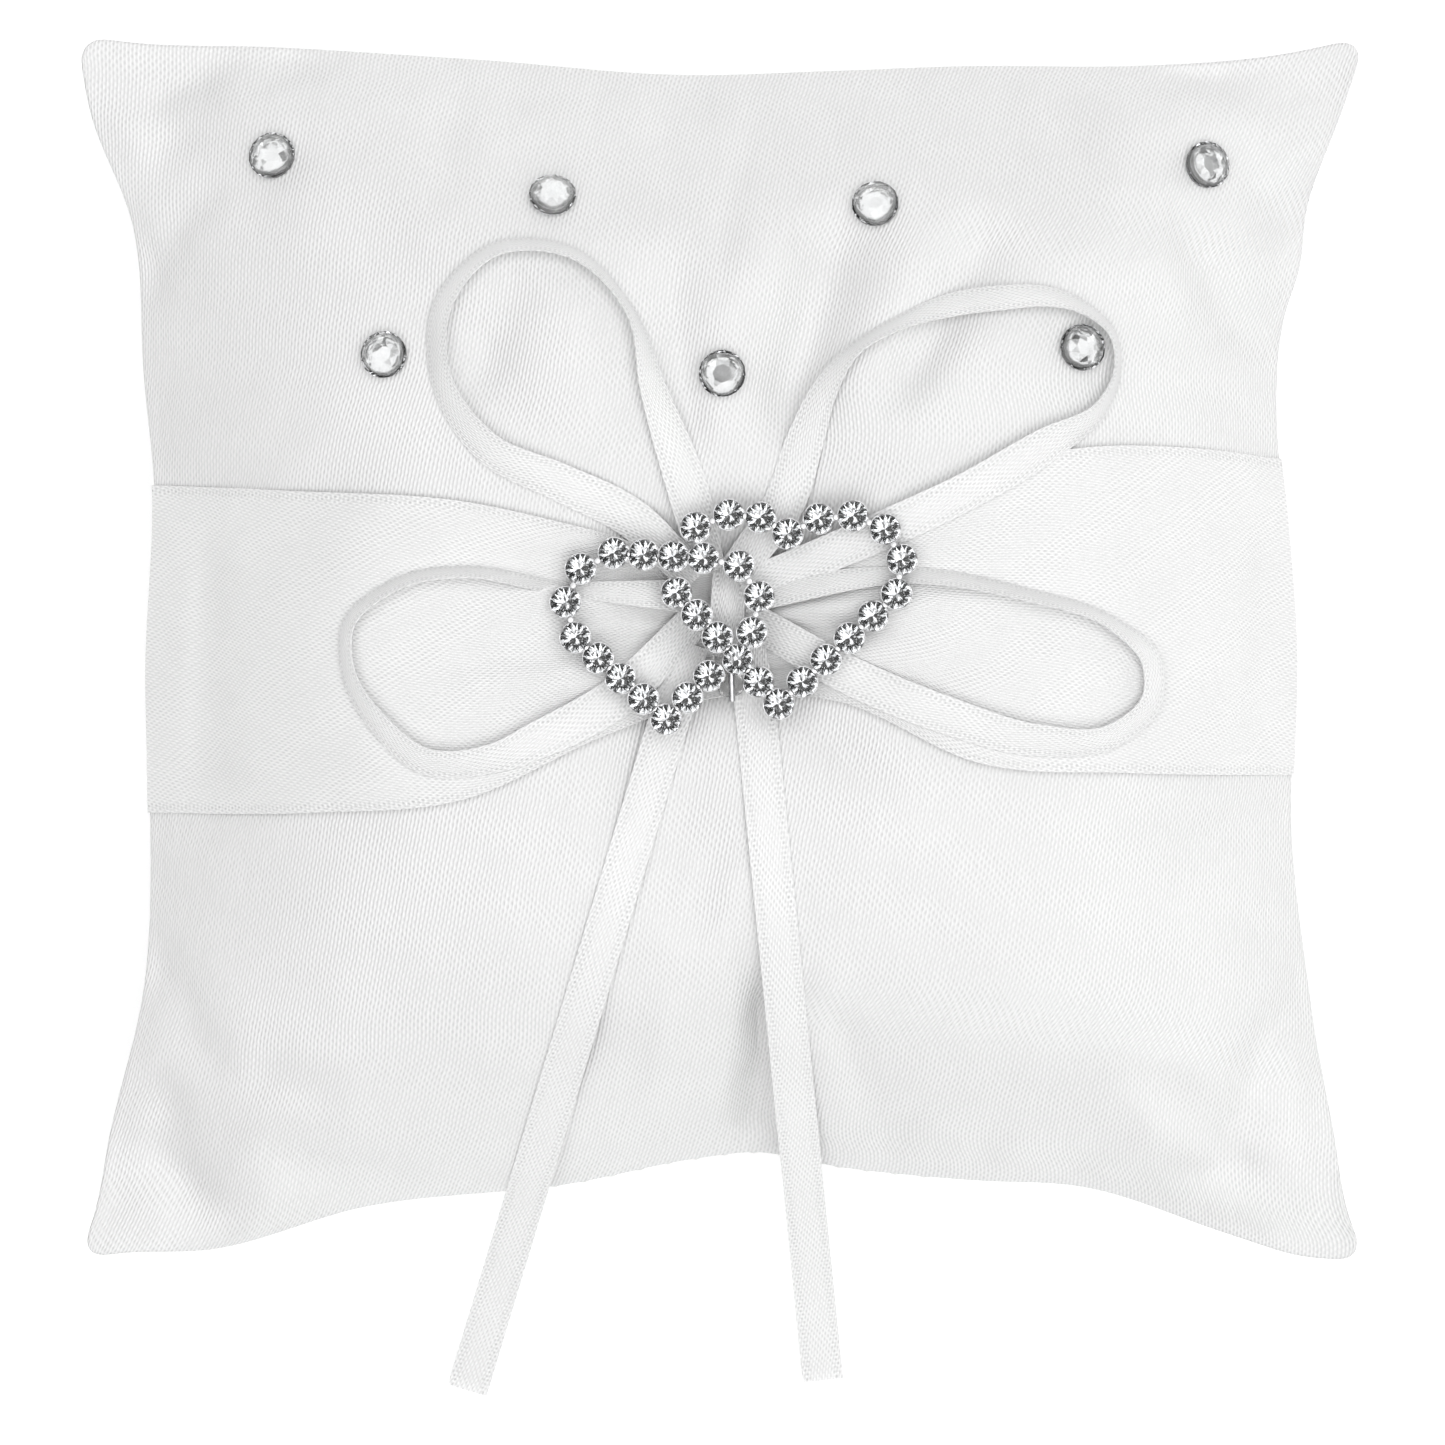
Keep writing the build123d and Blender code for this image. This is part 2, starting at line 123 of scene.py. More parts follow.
seam_low, seam_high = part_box("edge_seam_thread")
SEAM_LEVEL = (seam_low.z + seam_high.z) / 2 / MM
tuft_low, tuft_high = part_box("tuft_thread")
TUFT = ((tuft_low.x + tuft_high.x) / 2 / MM, (tuft_low.y + tuft_high.y) / 2 / MM)
BROOCH_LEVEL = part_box("brooch_frame")[0].z / MM


def smooth(points, at):
    """Smooth curve through points (x, y), read at the places `at`."""
    xs = np.array([p[0] for p in points], float)
    ys = np.array([p[1] for p in points], float)
    slopes = np.gradient(ys, xs)
    at = np.clip(np.asarray(at, float), xs[0], xs[-1])
    k = np.clip(np.searchsorted(xs, at, side="right") - 1, 0, len(xs) - 2)
    step = xs[k + 1] - xs[k]
    t = (at - xs[k]) / step
    start = ys[k] * (2 * t**3 - 3 * t**2 + 1) + slopes[k] * step * (t**3 - 2 * t**2 + t)
    end = ys[k + 1] * (3 * t**2 - 2 * t**3) + slopes[k + 1] * step * (t**3 - t**2)
    return start + end


def ease(t):
    """Soft step from 0 to 1 while t goes from 0 to 1."""
    t = np.clip(t, 0.0, 1.0)
    return t * t * (3 - 2 * t)


def seam_x(side, y):
    """Distance of the left (side < 0) or right sewn edge from the Y axis."""
    bow = 1 - np.abs(y / HALF_HEIGHT) ** SIDE_POWER
    left = HALF_WIDTH - PULL["left"] * bow + smooth(SEAM_WANDER["left"], y)
    right = HALF_WIDTH - PULL["right"] * bow + smooth(SEAM_WANDER["right"], y)
    return np.where(side > 0, right, left)


def seam_y(side, x):
    """Distance of the bottom (side < 0) or top sewn edge from the X axis."""
    bow = 1 - np.abs(x / HALF_WIDTH) ** EDGE_POWER
    bottom = HALF_HEIGHT - PULL["bottom"] * bow + smooth(SEAM_WANDER["bottom"], x)
    top = HALF_HEIGHT - PULL["top"] * bow + smooth(SEAM_WANDER["top"], x)
    return np.where(side > 0, top, bottom)


def plan_grid():
    """Plan places of the cover's grid, from -1 to 1 both ways, with rounded corners."""
    u, v = np.meshgrid(np.linspace(-1, 1, COLUMNS + 1), np.linspace(-1, 1, ROWS + 1), indexing="ij")
    a = np.clip((np.abs(u) - (1 - CORNER)) / CORNER, 0, 1)
    b = np.clip((np.abs(v) - (1 - CORNER)) / CORNER, 0, 1)
    round_u = np.sign(u) * (np.abs(u) + CORNER * a * (np.sqrt(1 - b * b / 2) - 1))
    round_v = np.sign(v) * (np.abs(v) + CORNER * b * (np.sqrt(1 - a * a / 2) - 1))
    x = round_u * HALF_WIDTH
    y = round_v * HALF_HEIGHT
    for _ in range(8):
        x = round_u * seam_x(round_u, y)
        y = round_v * seam_y(round_v, x)
    return u, v, x, y


def cover_heights(u, v, x, y, share):
    """Heights of the front and back faces, with the crowns at a share of their full rise."""
    swell = (1 - u**4) * (1 - v**4)
    distance = np.hypot(x - TUFT[0], y - TUFT[1])
    dimple = TUFT_DEPTH * np.exp(-((distance / TUFT_RADIUS) ** 2))
    front = SEAM_LEVEL + (RIM + FRONT_CROWN * share) * swell - dimple * swell
    back = np.maximum(SEAM_LEVEL - (RIM + BACK_CROWN * share) * swell, 0.0)
    return front, back


# ------------------------------------------------------------------ meshes
class Shape:
    """Points (mm), faces, UVs (mm of cloth) and material numbers that become one piece."""

    def __init__(self):
        self.points = []
        self.faces = []
        self.finishes = []
        self.uvs = []

    def add(self, points, faces, uvs=None, second=()):
        """Add points and faces; the `second` faces take the second material."""
        base = len(self.points)
        self.points += [tuple(float(c) for c in p) for p in points]
        self.faces += [tuple(base + int(i) for i in f) for f in [*faces, *second]]
        self.finishes += [0] * len(faces) + [1] * len(second)
        self.uvs += [tuple(p) for p in uvs] if uvs is not None else [(p[0], p[1]) for p in points]


def grid_faces(rows, columns):
    """Faces of a grid of points, which are counted row by row."""
    faces = []
    for i in range(rows - 1):
        for j in range(columns - 1):
            a = i * columns + j
            faces.append((a, a + columns, a + columns + 1, a + 1))
    return faces


def grid_rim(rows, columns):
    """Points round the edge of a grid, in order."""
    rim = [i * columns for i in range(rows)]
    rim += [(rows - 1) * columns + j for j in range(1, columns)]
    rim += [i * columns + columns - 1 for i in range(rows - 2, -1, -1)]
    rim += [j for j in range(columns - 2, 0, -1)]
    return rim


def shell_faces(rows, columns):
    """Faces of two grids back to back, closed round their edge."""
    count = rows * columns
    faces = grid_faces(rows, columns)
    faces += [tuple(count + k for k in reversed(f)) for f in faces]
    rim = grid_rim(rows, columns)
    faces += [(b, a, count + a, count + b) for a, b in zip(rim, rim[1:] + rim[:1])]
    return faces


def ring_faces(rings, sides):
    """Faces between rings of points, with closed ends."""
    faces = []
    for k in range(rings - 1):
        for i in range(sides):
            a = k * sides + i
            b = k * sides + (i + 1) % sides
            faces.append((a, b, b + sides, a + sides))
    faces.append(tuple(range(sides - 1, -1, -1)))
    faces.append(tuple((rings - 1) * sides + i for i in range(sides)))
    return faces


def unit(vectors):
    """Vectors brought to length 1."""
    return vectors / np.maximum(np.linalg.norm(vectors, axis=-1, keepdims=True), 1e-9)


def make_piece(name, shape, materials, sharp=45.0):
    """Mesh object in metres; an edge that turns by more than an angle (degrees) stays sharp."""
    mesh = bpy.data.meshes.new(name)
    mesh.from_pydata([tuple(c * MM for c in p) for p in shape.points], [], shape.faces)
    for material in materials:
        mesh.materials.append(material)
    mesh.polygons.foreach_set("material_index", shape.finishes)
    corners = np.zeros(len(mesh.loops), np.int32)
    mesh.loops.foreach_get("vertex_index", corners)
    uvs = np.array(shape.uvs, np.float32)[corners]
    mesh.uv_layers.new(name="cloth_mm").data.foreach_set("uv", uvs.ravel())
    mesh.validate()
    mesh.shade_smooth()
    mesh.set_sharp_from_angle(angle=math.radians(sharp))
    piece = bpy.data.objects.new(name, mesh)
    bpy.context.scene.collection.objects.link(piece)
    return piece


def settle(piece, body, slot, *nodes):
    """The piece rides on a body and stands for CAD nodes, which are hidden; the slot is not used."""
    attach(piece, body)
    if nodes:
        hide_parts(*nodes)


def apply_modifiers(piece):
    """Turn the modified shape of a piece into its own mesh."""
    graph = bpy.context.evaluated_depsgraph_get()
    mesh = bpy.data.meshes.new_from_object(piece.evaluated_get(graph))
    piece.modifiers.clear()
    piece.data = mesh


def normals_of(grid):
    """Unit normals at the points of a grid."""
    return unit(np.cross(np.gradient(grid, axis=0), np.gradient(grid, axis=1)))


def sheet(grid, uvs, thickness):
    """Closed thin sheet on a grid of points: both faces and the cut edges round it."""
    rows, columns = grid.shape[:2]
    normal = normals_of(grid) * (thickness / 2)
    top = (grid + normal).reshape(-1, 3)
    under = (grid - normal).reshape(-1, 3)
    flat = uvs.reshape(-1, 2)
    shape = Shape()
    shape.add(np.vstack([top, under]), shell_faces(rows, columns), np.vstack([flat, flat]))
    return shape


def tube(path, radius, sides=6):
    """Round thread along a path, with closed ends."""
    path = np.array(path, float)
    along = unit(np.gradient(path, axis=0))
    helper = [0.0, 0.0, 1.0] if abs(along[0][2]) < 0.8 else [1.0, 0.0, 0.0]
    side = unit(np.cross(along, helper))
    up = np.cross(side, along)
    points = []
    for k, centre in enumerate(path):
        for i in range(sides):
            turn = 2 * math.pi * i / sides
            points.append(centre + radius * (side[k] * math.cos(turn) + up[k] * math.sin(turn)))
    return points, ring_faces(len(path), sides)


def tree_of(piece):
    """Search tree of a finished piece, in mm."""
    points = [v.co / MM for v in piece.data.vertices]
    return BVHTree.FromPolygons(points, [tuple(p.vertices) for p in piece.data.polygons])


def height_on(trees, x, y, default=NOWHERE):
    """Highest point of some pieces above a plan place, in mm."""
    best = default
    for tree in trees:
        place, *_ = tree.ray_cast(Vector((x, y, 100.0)), Vector((0, 0, -1)))
        if place is not None:
            best = max(best, place.z)
    return best


# ------------------------------------------------------------------ materials
class Nodes:
    """A node tree that is built up by short calls."""

    def __init__(self, tree):
        self.tree = tree

    def put(self, value, socket):
        if isinstance(value, bpy.types.NodeSocket):
            self.tree.links.new(value, socket)
        else:
            socket.default_value = value

    def node(self, kind, inputs=(), **settings):
        node = self.tree.nodes.new(kind)
        for key, value in settings.items():
            setattr(node, key, value)
        for key, value in dict(inputs).items():
            self.put(value, node.inputs[key])
        return node

    def math(self, operation, first, second=0.0):
        node = self.node("ShaderNodeMath", {0: first, 1: second}, operation=operation)
        return node.outputs[0]

    def dot(self, vector, direction):
        inputs = {0: vector, 1: direction}
        return self.node("ShaderNodeVectorMath", inputs, operation="DOT_PRODUCT").outputs["Value"]

    def noise(self, vector, scale, detail=2.0):
        inputs = {"Vector": vector, "Scale": scale, "Detail": detail}
        return self.node("ShaderNodeTexNoise", inputs).outputs["Fac"]

    def mix(self, factor, first, second):
        """Colour between two colours, by a factor from 0 to 1."""
        inputs = {0: factor, 6: first, 7: second}
        return self.node("ShaderNodeMix", inputs, data_type="RGBA", clamp_factor=True).outputs[2]

    def greys(self, factor, stops):
        """Grey read from stops (place, grey) by a factor."""
        ramp = self.node("ShaderNodeValToRGB", {0: factor})
        elements = ramp.color_ramp.elements
        for place, _ in stops[1:-1]:
            elements.new(place)
        elements[0].position = stops[0][0]
        elements[-1].position = stops[-1][0]
        for element, (_, grey) in zip(elements, stops):
            element.color = (grey, grey, grey, 1.0)
        return ramp.outputs[0]


class Finish(Nodes):
    """A material with a Principled shader."""

    def __init__(self, name, **inputs):
        self.material = bpy.data.materials.new(name)
        self.material.use_nodes = True
        super().__init__(self.material.node_tree)
        self.shader = self.tree.nodes["Principled BSDF"]
        for key, value in inputs.items():
            self.set(key.replace("_", " "), value)

    def set(self, name, value):
        self.put(value, self.shader.inputs[name])

    def object_place(self):
        return self.node("ShaderNodeTexCoord").outputs["Object"]

    def stripes(self, vector, angle, pitch, wander=0.0):
        """Sine lines of a pitch, counted along the direction at an angle (degrees)."""
        turn = math.radians(angle)
        count = self.dot(vector, (math.cos(turn) / pitch, math.sin(turn) / pitch, 0.0))
        return self.math("SINE", self.math("MULTIPLY", self.math("ADD", count, wander), 2 * math.pi))

    def bump(self, height, depth):
        """Relief of a depth in mm."""
        inputs = {"Height": height, "Distance": depth * MM, "Strength": 1.0}
        self.set("Normal", self.node("ShaderNodeBump", inputs).outputs["Normal"])

    def tint(self, low, high, factor):
        """Base colour between two colours, by a factor from 0 to 1."""
        self.set("Base Color", self.mix(factor, (*low, 1.0), (*high, 1.0)))


SELVEDGE_INSET = 0.45  # middle of the woven edge, from the ribbon's edge (mm)
SELVEDGE_WIDTH = 0.28
RELIEF = 0.018  # height of the threads of the satin (mm)


def satin(name, lines, turn, white, selvedge=None):
    """White satin: fine lines of threads (angle, pitch, weight), a soft directed shine and,
    on a ribbon, the beaded rows of its woven edges (half width, pitch in mm)."""
    finish = Finish(name, Roughness=0.36, Anisotropic=0.6, Specular_IOR_Level=1.0, Sheen_Weight=0.06)
    cloth = finish.node("ShaderNodeUVMap", uv_map="cloth_mm").outputs["UV"]
    slub = finish.noise(cloth, 0.35, 3.0)
    wander = finish.math("MULTIPLY", slub, 0.9)
    total = None
    for angle, pitch, weight in lines:
        line = finish.math("MULTIPLY", finish.stripes(cloth, angle, pitch, wander), weight)
        total = line if total is None else finish.math("ADD", total, line)
    thread = finish.noise(cloth, 5.0, 2.0)
    total = finish.math("ADD", total, finish.math("SUBTRACT", thread, 0.5))
    if selvedge:
        half, pitch = selvedge
        across = finish.node("ShaderNodeSeparateXYZ", {0: cloth}).outputs["Y"]
        inset = finish.math("SUBTRACT", half - SELVEDGE_INSET, finish.math("ABSOLUTE", across))
        off = finish.math("DIVIDE", inset, SELVEDGE_WIDTH)
        row = finish.math("EXPONENT", finish.math("MULTIPLY", finish.math("MULTIPLY", off, off), -1.0))
        bead = finish.math("ADD", finish.stripes(cloth, 0.0, pitch), -0.3)
        total = finish.math("ADD", total, finish.math("MULTIPLY", finish.math("MULTIPLY", row, bead), 0.9))
    patch = finish.noise(cloth, 0.09, 2.0)
    shade = finish.math("ADD", finish.math("MULTIPLY", total, 0.25), finish.math("MULTIPLY", patch, 0.25))
    shadow = tuple(c * 0.6 for c in white)
    finish.tint(shadow, white, finish.math("ADD", shade, 0.62))
    finish.bump(total, RELIEF)
    tangent = finish.node("ShaderNodeTangent", direction_type="UV_MAP", uv_map="cloth_mm")
    finish.set("Tangent", tangent.outputs[0])
    finish.set("Anisotropic Rotation", turn)
    return finish.material


def mottled(name, scale, detail, low, high, depth=0.0, roughness=None, **inputs):
    """Material with a mottled colour and, if wanted, a relief (mm) and a mottled roughness,
    which is given as its lowest value and its span."""
    finish = Finish(name, **inputs)
    spots = finish.noise(finish.object_place(), scale, detail)
    finish.tint(low, high, spots)
    if roughness:
        least, span = roughness
        finish.set("Roughness", finish.math("ADD", finish.math("MULTIPLY", spots, span), least))
    if depth:
        finish.bump(spots, depth)
    return finish.material


PILLOW_LINES = [(-11.0, 0.30, 1.0), (-48.0, 0.40, 0.35), (40.0, 0.46, 0.3)]
RIBBON_LINES = [(78.0, 0.224, 0.7), (-61.0, 0.365, 0.5), (45.0, 0.33, 0.4)]
BAND_HALF = 12.7
NARROW_HALF = 1.6
pillow_satin = satin("pillow_satin", PILLOW_LINES, 0.25, (0.88, 0.88, 0.88))
band_satin = satin("band_satin", RIBBON_LINES, 0.0, (0.91, 0.91, 0.91), (BAND_HALF, 0.39))
ribbon_satin = satin("ribbon_satin", RIBBON_LINES, 0.0, (0.93, 0.93, 0.93), (NARROW_HALF, 0.39))
spun_thread = mottled(
    "spun_thread", 9000.0, 2.0, (0.78, 0.78, 0.77), (0.92, 0.92, 0.91), 0.05,
    Roughness=0.6, Sheen_Weight=0.3,
)
fibre = mottled(
    "polyester_fibre", 1400.0, 6.0, (0.80, 0.80, 0.79), (0.93, 0.93, 0.92), 0.4,
    Roughness=0.85, Sheen_Weight=0.6,
)
silver = mottled(
    "silver_plate", 1500.0, 4.0, (0.34, 0.34, 0.35), (0.86, 0.86, 0.87), 0.03, (0.08, 0.25),
    Metallic=1.0,
)
glass = mottled(
    "cut_glass", 2500.0, 2.0, (0.96, 0.97, 0.97), (1.0, 1.0, 1.0), 0.0, (0.0, 0.008),
    Transmission_Weight=1.0, IOR=1.58,
)
foil = mottled(
    "silver_foil", 900.0, 2.0, (0.86, 0.87, 0.88), (0.97, 0.97, 0.98),
    Metallic=1.0, Roughness=0.02,
)
glue = mottled(
    "clear_glue", 1200.0, 3.0, (0.86, 0.86, 0.85), (0.98, 0.98, 0.98), 0.05, (0.05, 0.2),
    Transmission_Weight=0.85, IOR=1.46, Coat_Weight=0.5,
)


# ------------------------------------------------------------------ cover by cloth simulation
SIM_SCALE = 10.0  # the cloth solver works best on a pillow about a metre wide
START_SHARE = 0.95  # the cover starts a little flatter than it ends
PRESSURE = 4.0
FRAMES = 20
EASE_IN_CLOTH = -0.02  # cloth cut larger than the shape, so that it puckers
MOVE_CAP = 1.8
ROLL = [(0.12, 0.62), (0.0, 0.34), (0.22, 0.12), (0.9, 0.09)]  # inset and height of the turned edge
FABRIC = 0.22
TURN_STEP = 0.4  # cloth that each row of the turned edge takes up


def rim_cells():
    """Grid places (i, j) round the edge of the cover, in order."""
    return [divmod(k, ROWS + 1) for k in grid_rim(COLUMNS + 1, ROWS + 1)]


def edge_of(grid):
    """Points round the edge of the cover and the outward direction at each."""
    ring = np.array([grid[c] for c in rim_cells()])
    along = np.roll(ring, -1, axis=0) - np.roll(ring, 1, axis=0)
    return ring, unit(np.stack([along[:, 1], -along[:, 0], np.zeros(len(ring))], axis=1))


CLOTH_SETTINGS = {
    "quality": 5,
    "mass": 0.3,
    "tension_stiffness": 15,
    "compression_stiffness": 15,
    "shear_stiffness": 5,
    "bending_stiffness": 1.5,
    "shrink_min": EASE_IN_CLOTH,
    "use_pressure": True,
    "uniform_pressure_force": PRESSURE,
    "vertex_group_mass": "held",
}


def inflate(front, back, held):
    """Cloth simulation of the closed cover, blown up by its filling with its seam held."""
    index = np.arange((COLUMNS + 1) * (ROWS + 1)).reshape(COLUMNS + 1, ROWS + 1)
    inner = np.arange((COLUMNS - 1) * (ROWS - 1)).reshape(COLUMNS - 1, ROWS - 1)
    under = index.copy()
    under[1:-1, 1:-1] = inner + index.size
    points = np.vstack([front.reshape(-1, 3), back[1:-1, 1:-1].reshape(-1, 3)])
    faces = []
    for a, b, c, d in grid_faces(COLUMNS + 1, ROWS + 1):
        faces.append((a, b, c, d))
        faces.append(tuple(int(under.flat[k]) for k in (a, d, c, b)))
    mesh = bpy.data.meshes.new("cover_simulation")
    mesh.from_pydata((points * MM * SIM_SCALE).tolist(), [], faces)
    piece = bpy.data.objects.new("cover_simulation", mesh)
    bpy.context.scene.collection.objects.link(piece)
    group = piece.vertex_groups.new(name="held")
    group.add([int(k) for k in index[held].ravel()], 1.0, "REPLACE")
    cloth = piece.modifiers.new("cloth", "CLOTH")
    for key, value in CLOTH_SETTINGS.items():
        setattr(cloth.settings, key, value)
    cloth.settings.effector_weights.gravity = 0
    cloth.collision_settings.use_collision = False
    cloth.point_cache.frame_start = 1
    cloth.point_cache.frame_end = FRAMES
    for number in range(1, FRAMES + 1):
        bpy.context.scene.frame_set(number)
    result = piece.evaluated_get(bpy.context.evaluated_depsgraph_get()).data
    found = np.zeros(len(result.vertices) * 3, np.float32)
    result.vertices.foreach_get("co", found)
    found = found.reshape(-1, 3).astype(float) / (MM * SIM_SCALE)
    bpy.data.objects.remove(piece)
    bpy.context.scene.frame_set(1)
    back_found = back.copy()
    back_found[1:-1, 1:-1] = found[index.size:].reshape(COLUMNS - 1, ROWS - 1, 3)
    front_found = found[:index.size].reshape(COLUMNS + 1, ROWS + 1, 3)
    for edge in (np.s_[0, :], np.s_[-1, :], np.s_[:, 0], np.s_[:, -1]):
        back_found[edge] = front_found[edge]
    return front_found, back_found


def capped(found, wanted):
    """Simulated places, at most MOVE_CAP from the CAD cover."""
    move = found - wanted
    length = np.linalg.norm(move, axis=2, keepdims=True)
    return wanted + move * np.minimum(1.0, MOVE_CAP / np.maximum(length, 1e-9))


def relaxed(grid, passes):
    """A grid with the solver's jitter evened out and its edge kept."""
    for _ in range(passes):
        around = grid[2:, 1:-1] + grid[:-2, 1:-1] + grid[1:-1, 2:] + grid[1:-1, :-2]
        grid = grid.copy()
        grid[1:-1, 1:-1] = grid[1:-1, 1:-1] * 0.5 + around * 0.125
    return grid


def fold_relief(x, y):
    """Rise and fall of the soft folds that run to the tuft and the corners."""
    relief = np.zeros_like(x)
    for start, end, half, rise in FOLDS:
        start = np.array(start, float)
        reach = np.array(end, float) - start
        length = np.hypot(*reach)
        t = ((x - start[0]) * reach[0] + (y - start[1]) * reach[1]) / length**2
        off = np.abs((x - start[0]) * reach[1] - (y - start[1]) * reach[0]) / length
        spread = half * (0.5 + 0.5 * np.clip(t, 0, 1))
        relief += rise * np.exp(-((off / spread) ** 2)) * ease(t / 0.35) * ease((1.15 - t) / 0.35)
    return relief


PUCKERS = [(3.9, 0.35), (5.3, 0.5), (7.7, 0.5), (12.5, 0.4)]  # pitch along the edge, share
PUCKER_RISE = 0.22


def pucker_relief(u, v, x, y):
    """Small puckers along the sewn edge."""
    relief = np.zeros_like(x)
    sides = [
        ((1 - u) * HALF_WIDTH, y), ((1 + u) * HALF_WIDTH, y),
        ((1 - v) * HALF_HEIGHT, x), ((1 + v) * HALF_HEIGHT, x),
    ]
    for inset, along in sides:
        wave = np.zeros_like(x)
        for pitch, size in PUCKERS:
            wave += size * np.sin(2 * math.pi * along / pitch + random.uniform(0, 2 * math.pi))
        relief += PUCKER_RISE * wave * ease(inset / 1.5) * np.exp(-inset / 3.5)
    return relief


def cloth_uvs(grid):
    """Distances over the cloth from the middle of the grid, both ways (mm)."""
    across = np.linalg.norm(np.diff(grid, axis=0), axis=2)
    along = np.linalg.norm(np.diff(grid, axis=1), axis=2)
    u = np.vstack([np.zeros((1, grid.shape[1])), np.cumsum(across, axis=0)])
    v = np.hstack([np.zeros((grid.shape[0], 1)), np.cumsum(along, axis=1)])
    u -= u[grid.shape[0] // 2][None, :]
    v -= v[:, grid.shape[1] // 2][:, None]
    return np.stack([u, v], axis=2)


def cover_panel(name, grid, side):
    """One face of the cover with its turned edge; side is 1 for the front, -1 for the back."""
    cells = rim_cells()
    ring, outward = edge_of(grid)
    uvs = cloth_uvs(grid)
    rings = []
    for inset, rise in ROLL:
        turned = ring - outward * inset
        turned[:, 2] = SEAM_LEVEL + side * rise
        rings.append(turned)
    for cell, place in zip(cells, rings[0]):
        grid[cell] = place
    faces = grid_faces(COLUMNS + 1, ROWS + 1)
    points = list(grid.reshape(-1, 3))
    flat = list(uvs.reshape(-1, 2))
    before = grid_rim(COLUMNS + 1, ROWS + 1)
    rim_uvs = [uvs[c] for c in cells]
    for number, turned in enumerate(rings[1:], 1):
        now = list(range(len(points), len(points) + len(turned)))
        points += list(turned)
        flat += [np.array(p) + outward[k][:2] * TURN_STEP * number for k, p in enumerate(rim_uvs)]
        for k in range(len(now)):
            n = (k + 1) % len(now)
            faces.append((before[n], before[k], now[k], now[n]))
        before = now
    if side < 0:
        faces = [tuple(reversed(f)) for f in faces]
    shape = Shape()
    shape.add(points, faces, flat)
    piece = make_piece(name, shape, [pillow_satin], 60)
    thick = piece.modifiers.new("cloth_thickness", "SOLIDIFY")
    thick.thickness = FABRIC * MM
    thick.offset = -1
    finer = piece.modifiers.new("finer", "SUBSURF")
    finer.levels = 1
    finer.render_levels = 1
    apply_modifiers(piece)
    return piece


HELD_MIDDLE = 3.0  # radius that the tuft holds still
TABLE_GAP = 0.12  # lowest height of the back


def make_cover():
    """Grids of the front and the back, with their folds and puckers."""
    u, v, x, y = plan_grid()
    front_z, back_z = cover_heights(u, v, x, y, 1.0)
    front = np.stack([x, y, front_z], axis=2)
    back = np.stack([x, y, back_z], axis=2)
    held = np.hypot(x - TUFT[0], y - TUFT[1]) < HELD_MIDDLE
    held[[0, -1], :] = True
    held[:, [0, -1]] = True
    low_front, low_back = cover_heights(u, v, x, y, START_SHARE)
    low_front = np.where(held, front_z, low_front)
    start = np.stack([x, y, low_front], axis=2)
    start_back = np.stack([x, y, low_back], axis=2)
    found, found_back = inflate(start, start_back, held)
    front = relaxed(capped(found, front), 2)
    back = relaxed(capped(found_back, back), 2)
    room = front_z - SEAM_LEVEL - RIM
    edge = pucker_relief(u, v, x, y) * ease(room / 1.5)
    front[:, :, 2] += fold_relief(x, y) * ease(room / 3.0) + edge
    front[:, :, 2] = np.maximum(front[:, :, 2], SEAM_LEVEL + 0.8 * RIM)
    back[:, :, 2] -= edge
    back[:, :, 2] = np.clip(back[:, :, 2], TABLE_GAP, SEAM_LEVEL - 0.8 * RIM)
    return front, back


WAD_GAP = 1.6  # between the filling and the cover
WAD_EDGE = 0.15  # half its thickness at its edge
WAD_TAPER = 0.12  # share of the half width over which it thins towards its edge
LUMP = 0.25
LUMP_PITCHES = (7.0, 11.0, 17.0)


def fibre_wad(front, back):
    """Lumpy filling just inside the cover."""
    step = 2
    top = front[::step, ::step].copy()
    low = back[::step, ::step].copy()
    rows, columns = top.shape[:2]
    u, v = np.meshgrid(np.linspace(-1, 1, rows), np.linspace(-1, 1, columns), indexing="ij")
    edge = ease((1 - np.maximum(np.abs(u), np.abs(v))) / WAD_TAPER)
    lumps = np.zeros_like(u)
    for pitch in LUMP_PITCHES:
        a, b = random.uniform(0, 6), random.uniform(0, 6)
        lumps += np.sin(top[:, :, 0] / pitch * 6.3 + a) * np.sin(top[:, :, 1] / pitch * 6.3 + b)
    for face, side in ((top, 1), (low, -1)):
        face[:, :, :2] *= 1 - WAD_GAP / HALF_WIDTH
        middle = SEAM_LEVEL + side * WAD_EDGE
        face[:, :, 2] = middle + (face[:, :, 2] - side * (WAD_GAP + LUMP * lumps) - middle) * edge
    shape = Shape()
    shape.add(np.vstack([top.reshape(-1, 3), low.reshape(-1, 3)]), shell_faces(rows, columns))
    return make_piece("fibre_wad", shape, [fibre], 80)


STITCH = 1.9
STITCH_GAP = 0.35
STITCH_POINTS = 5
STITCH_ARCH = 0.05  # how far a machine stitch bulges up
HAND_BULGE = 0.42  # how far a hand stitch stands out from the edge
HAND_SLANT = 0.32  # how far its ends lie above and below the seam
SEAM_THREAD = 0.09
SEAM_INSET = 0.45
HAND_GAP = 32.0  # length of the bottom edge that is closed by hand


def seam_path(grid):
    """The sewn edge as a dense closed path, drawn in to where the thread runs."""
    ring, outward = edge_of(grid)
    path = ring - outward * SEAM_INSET
    path[:, 2] = SEAM_LEVEL
    return path


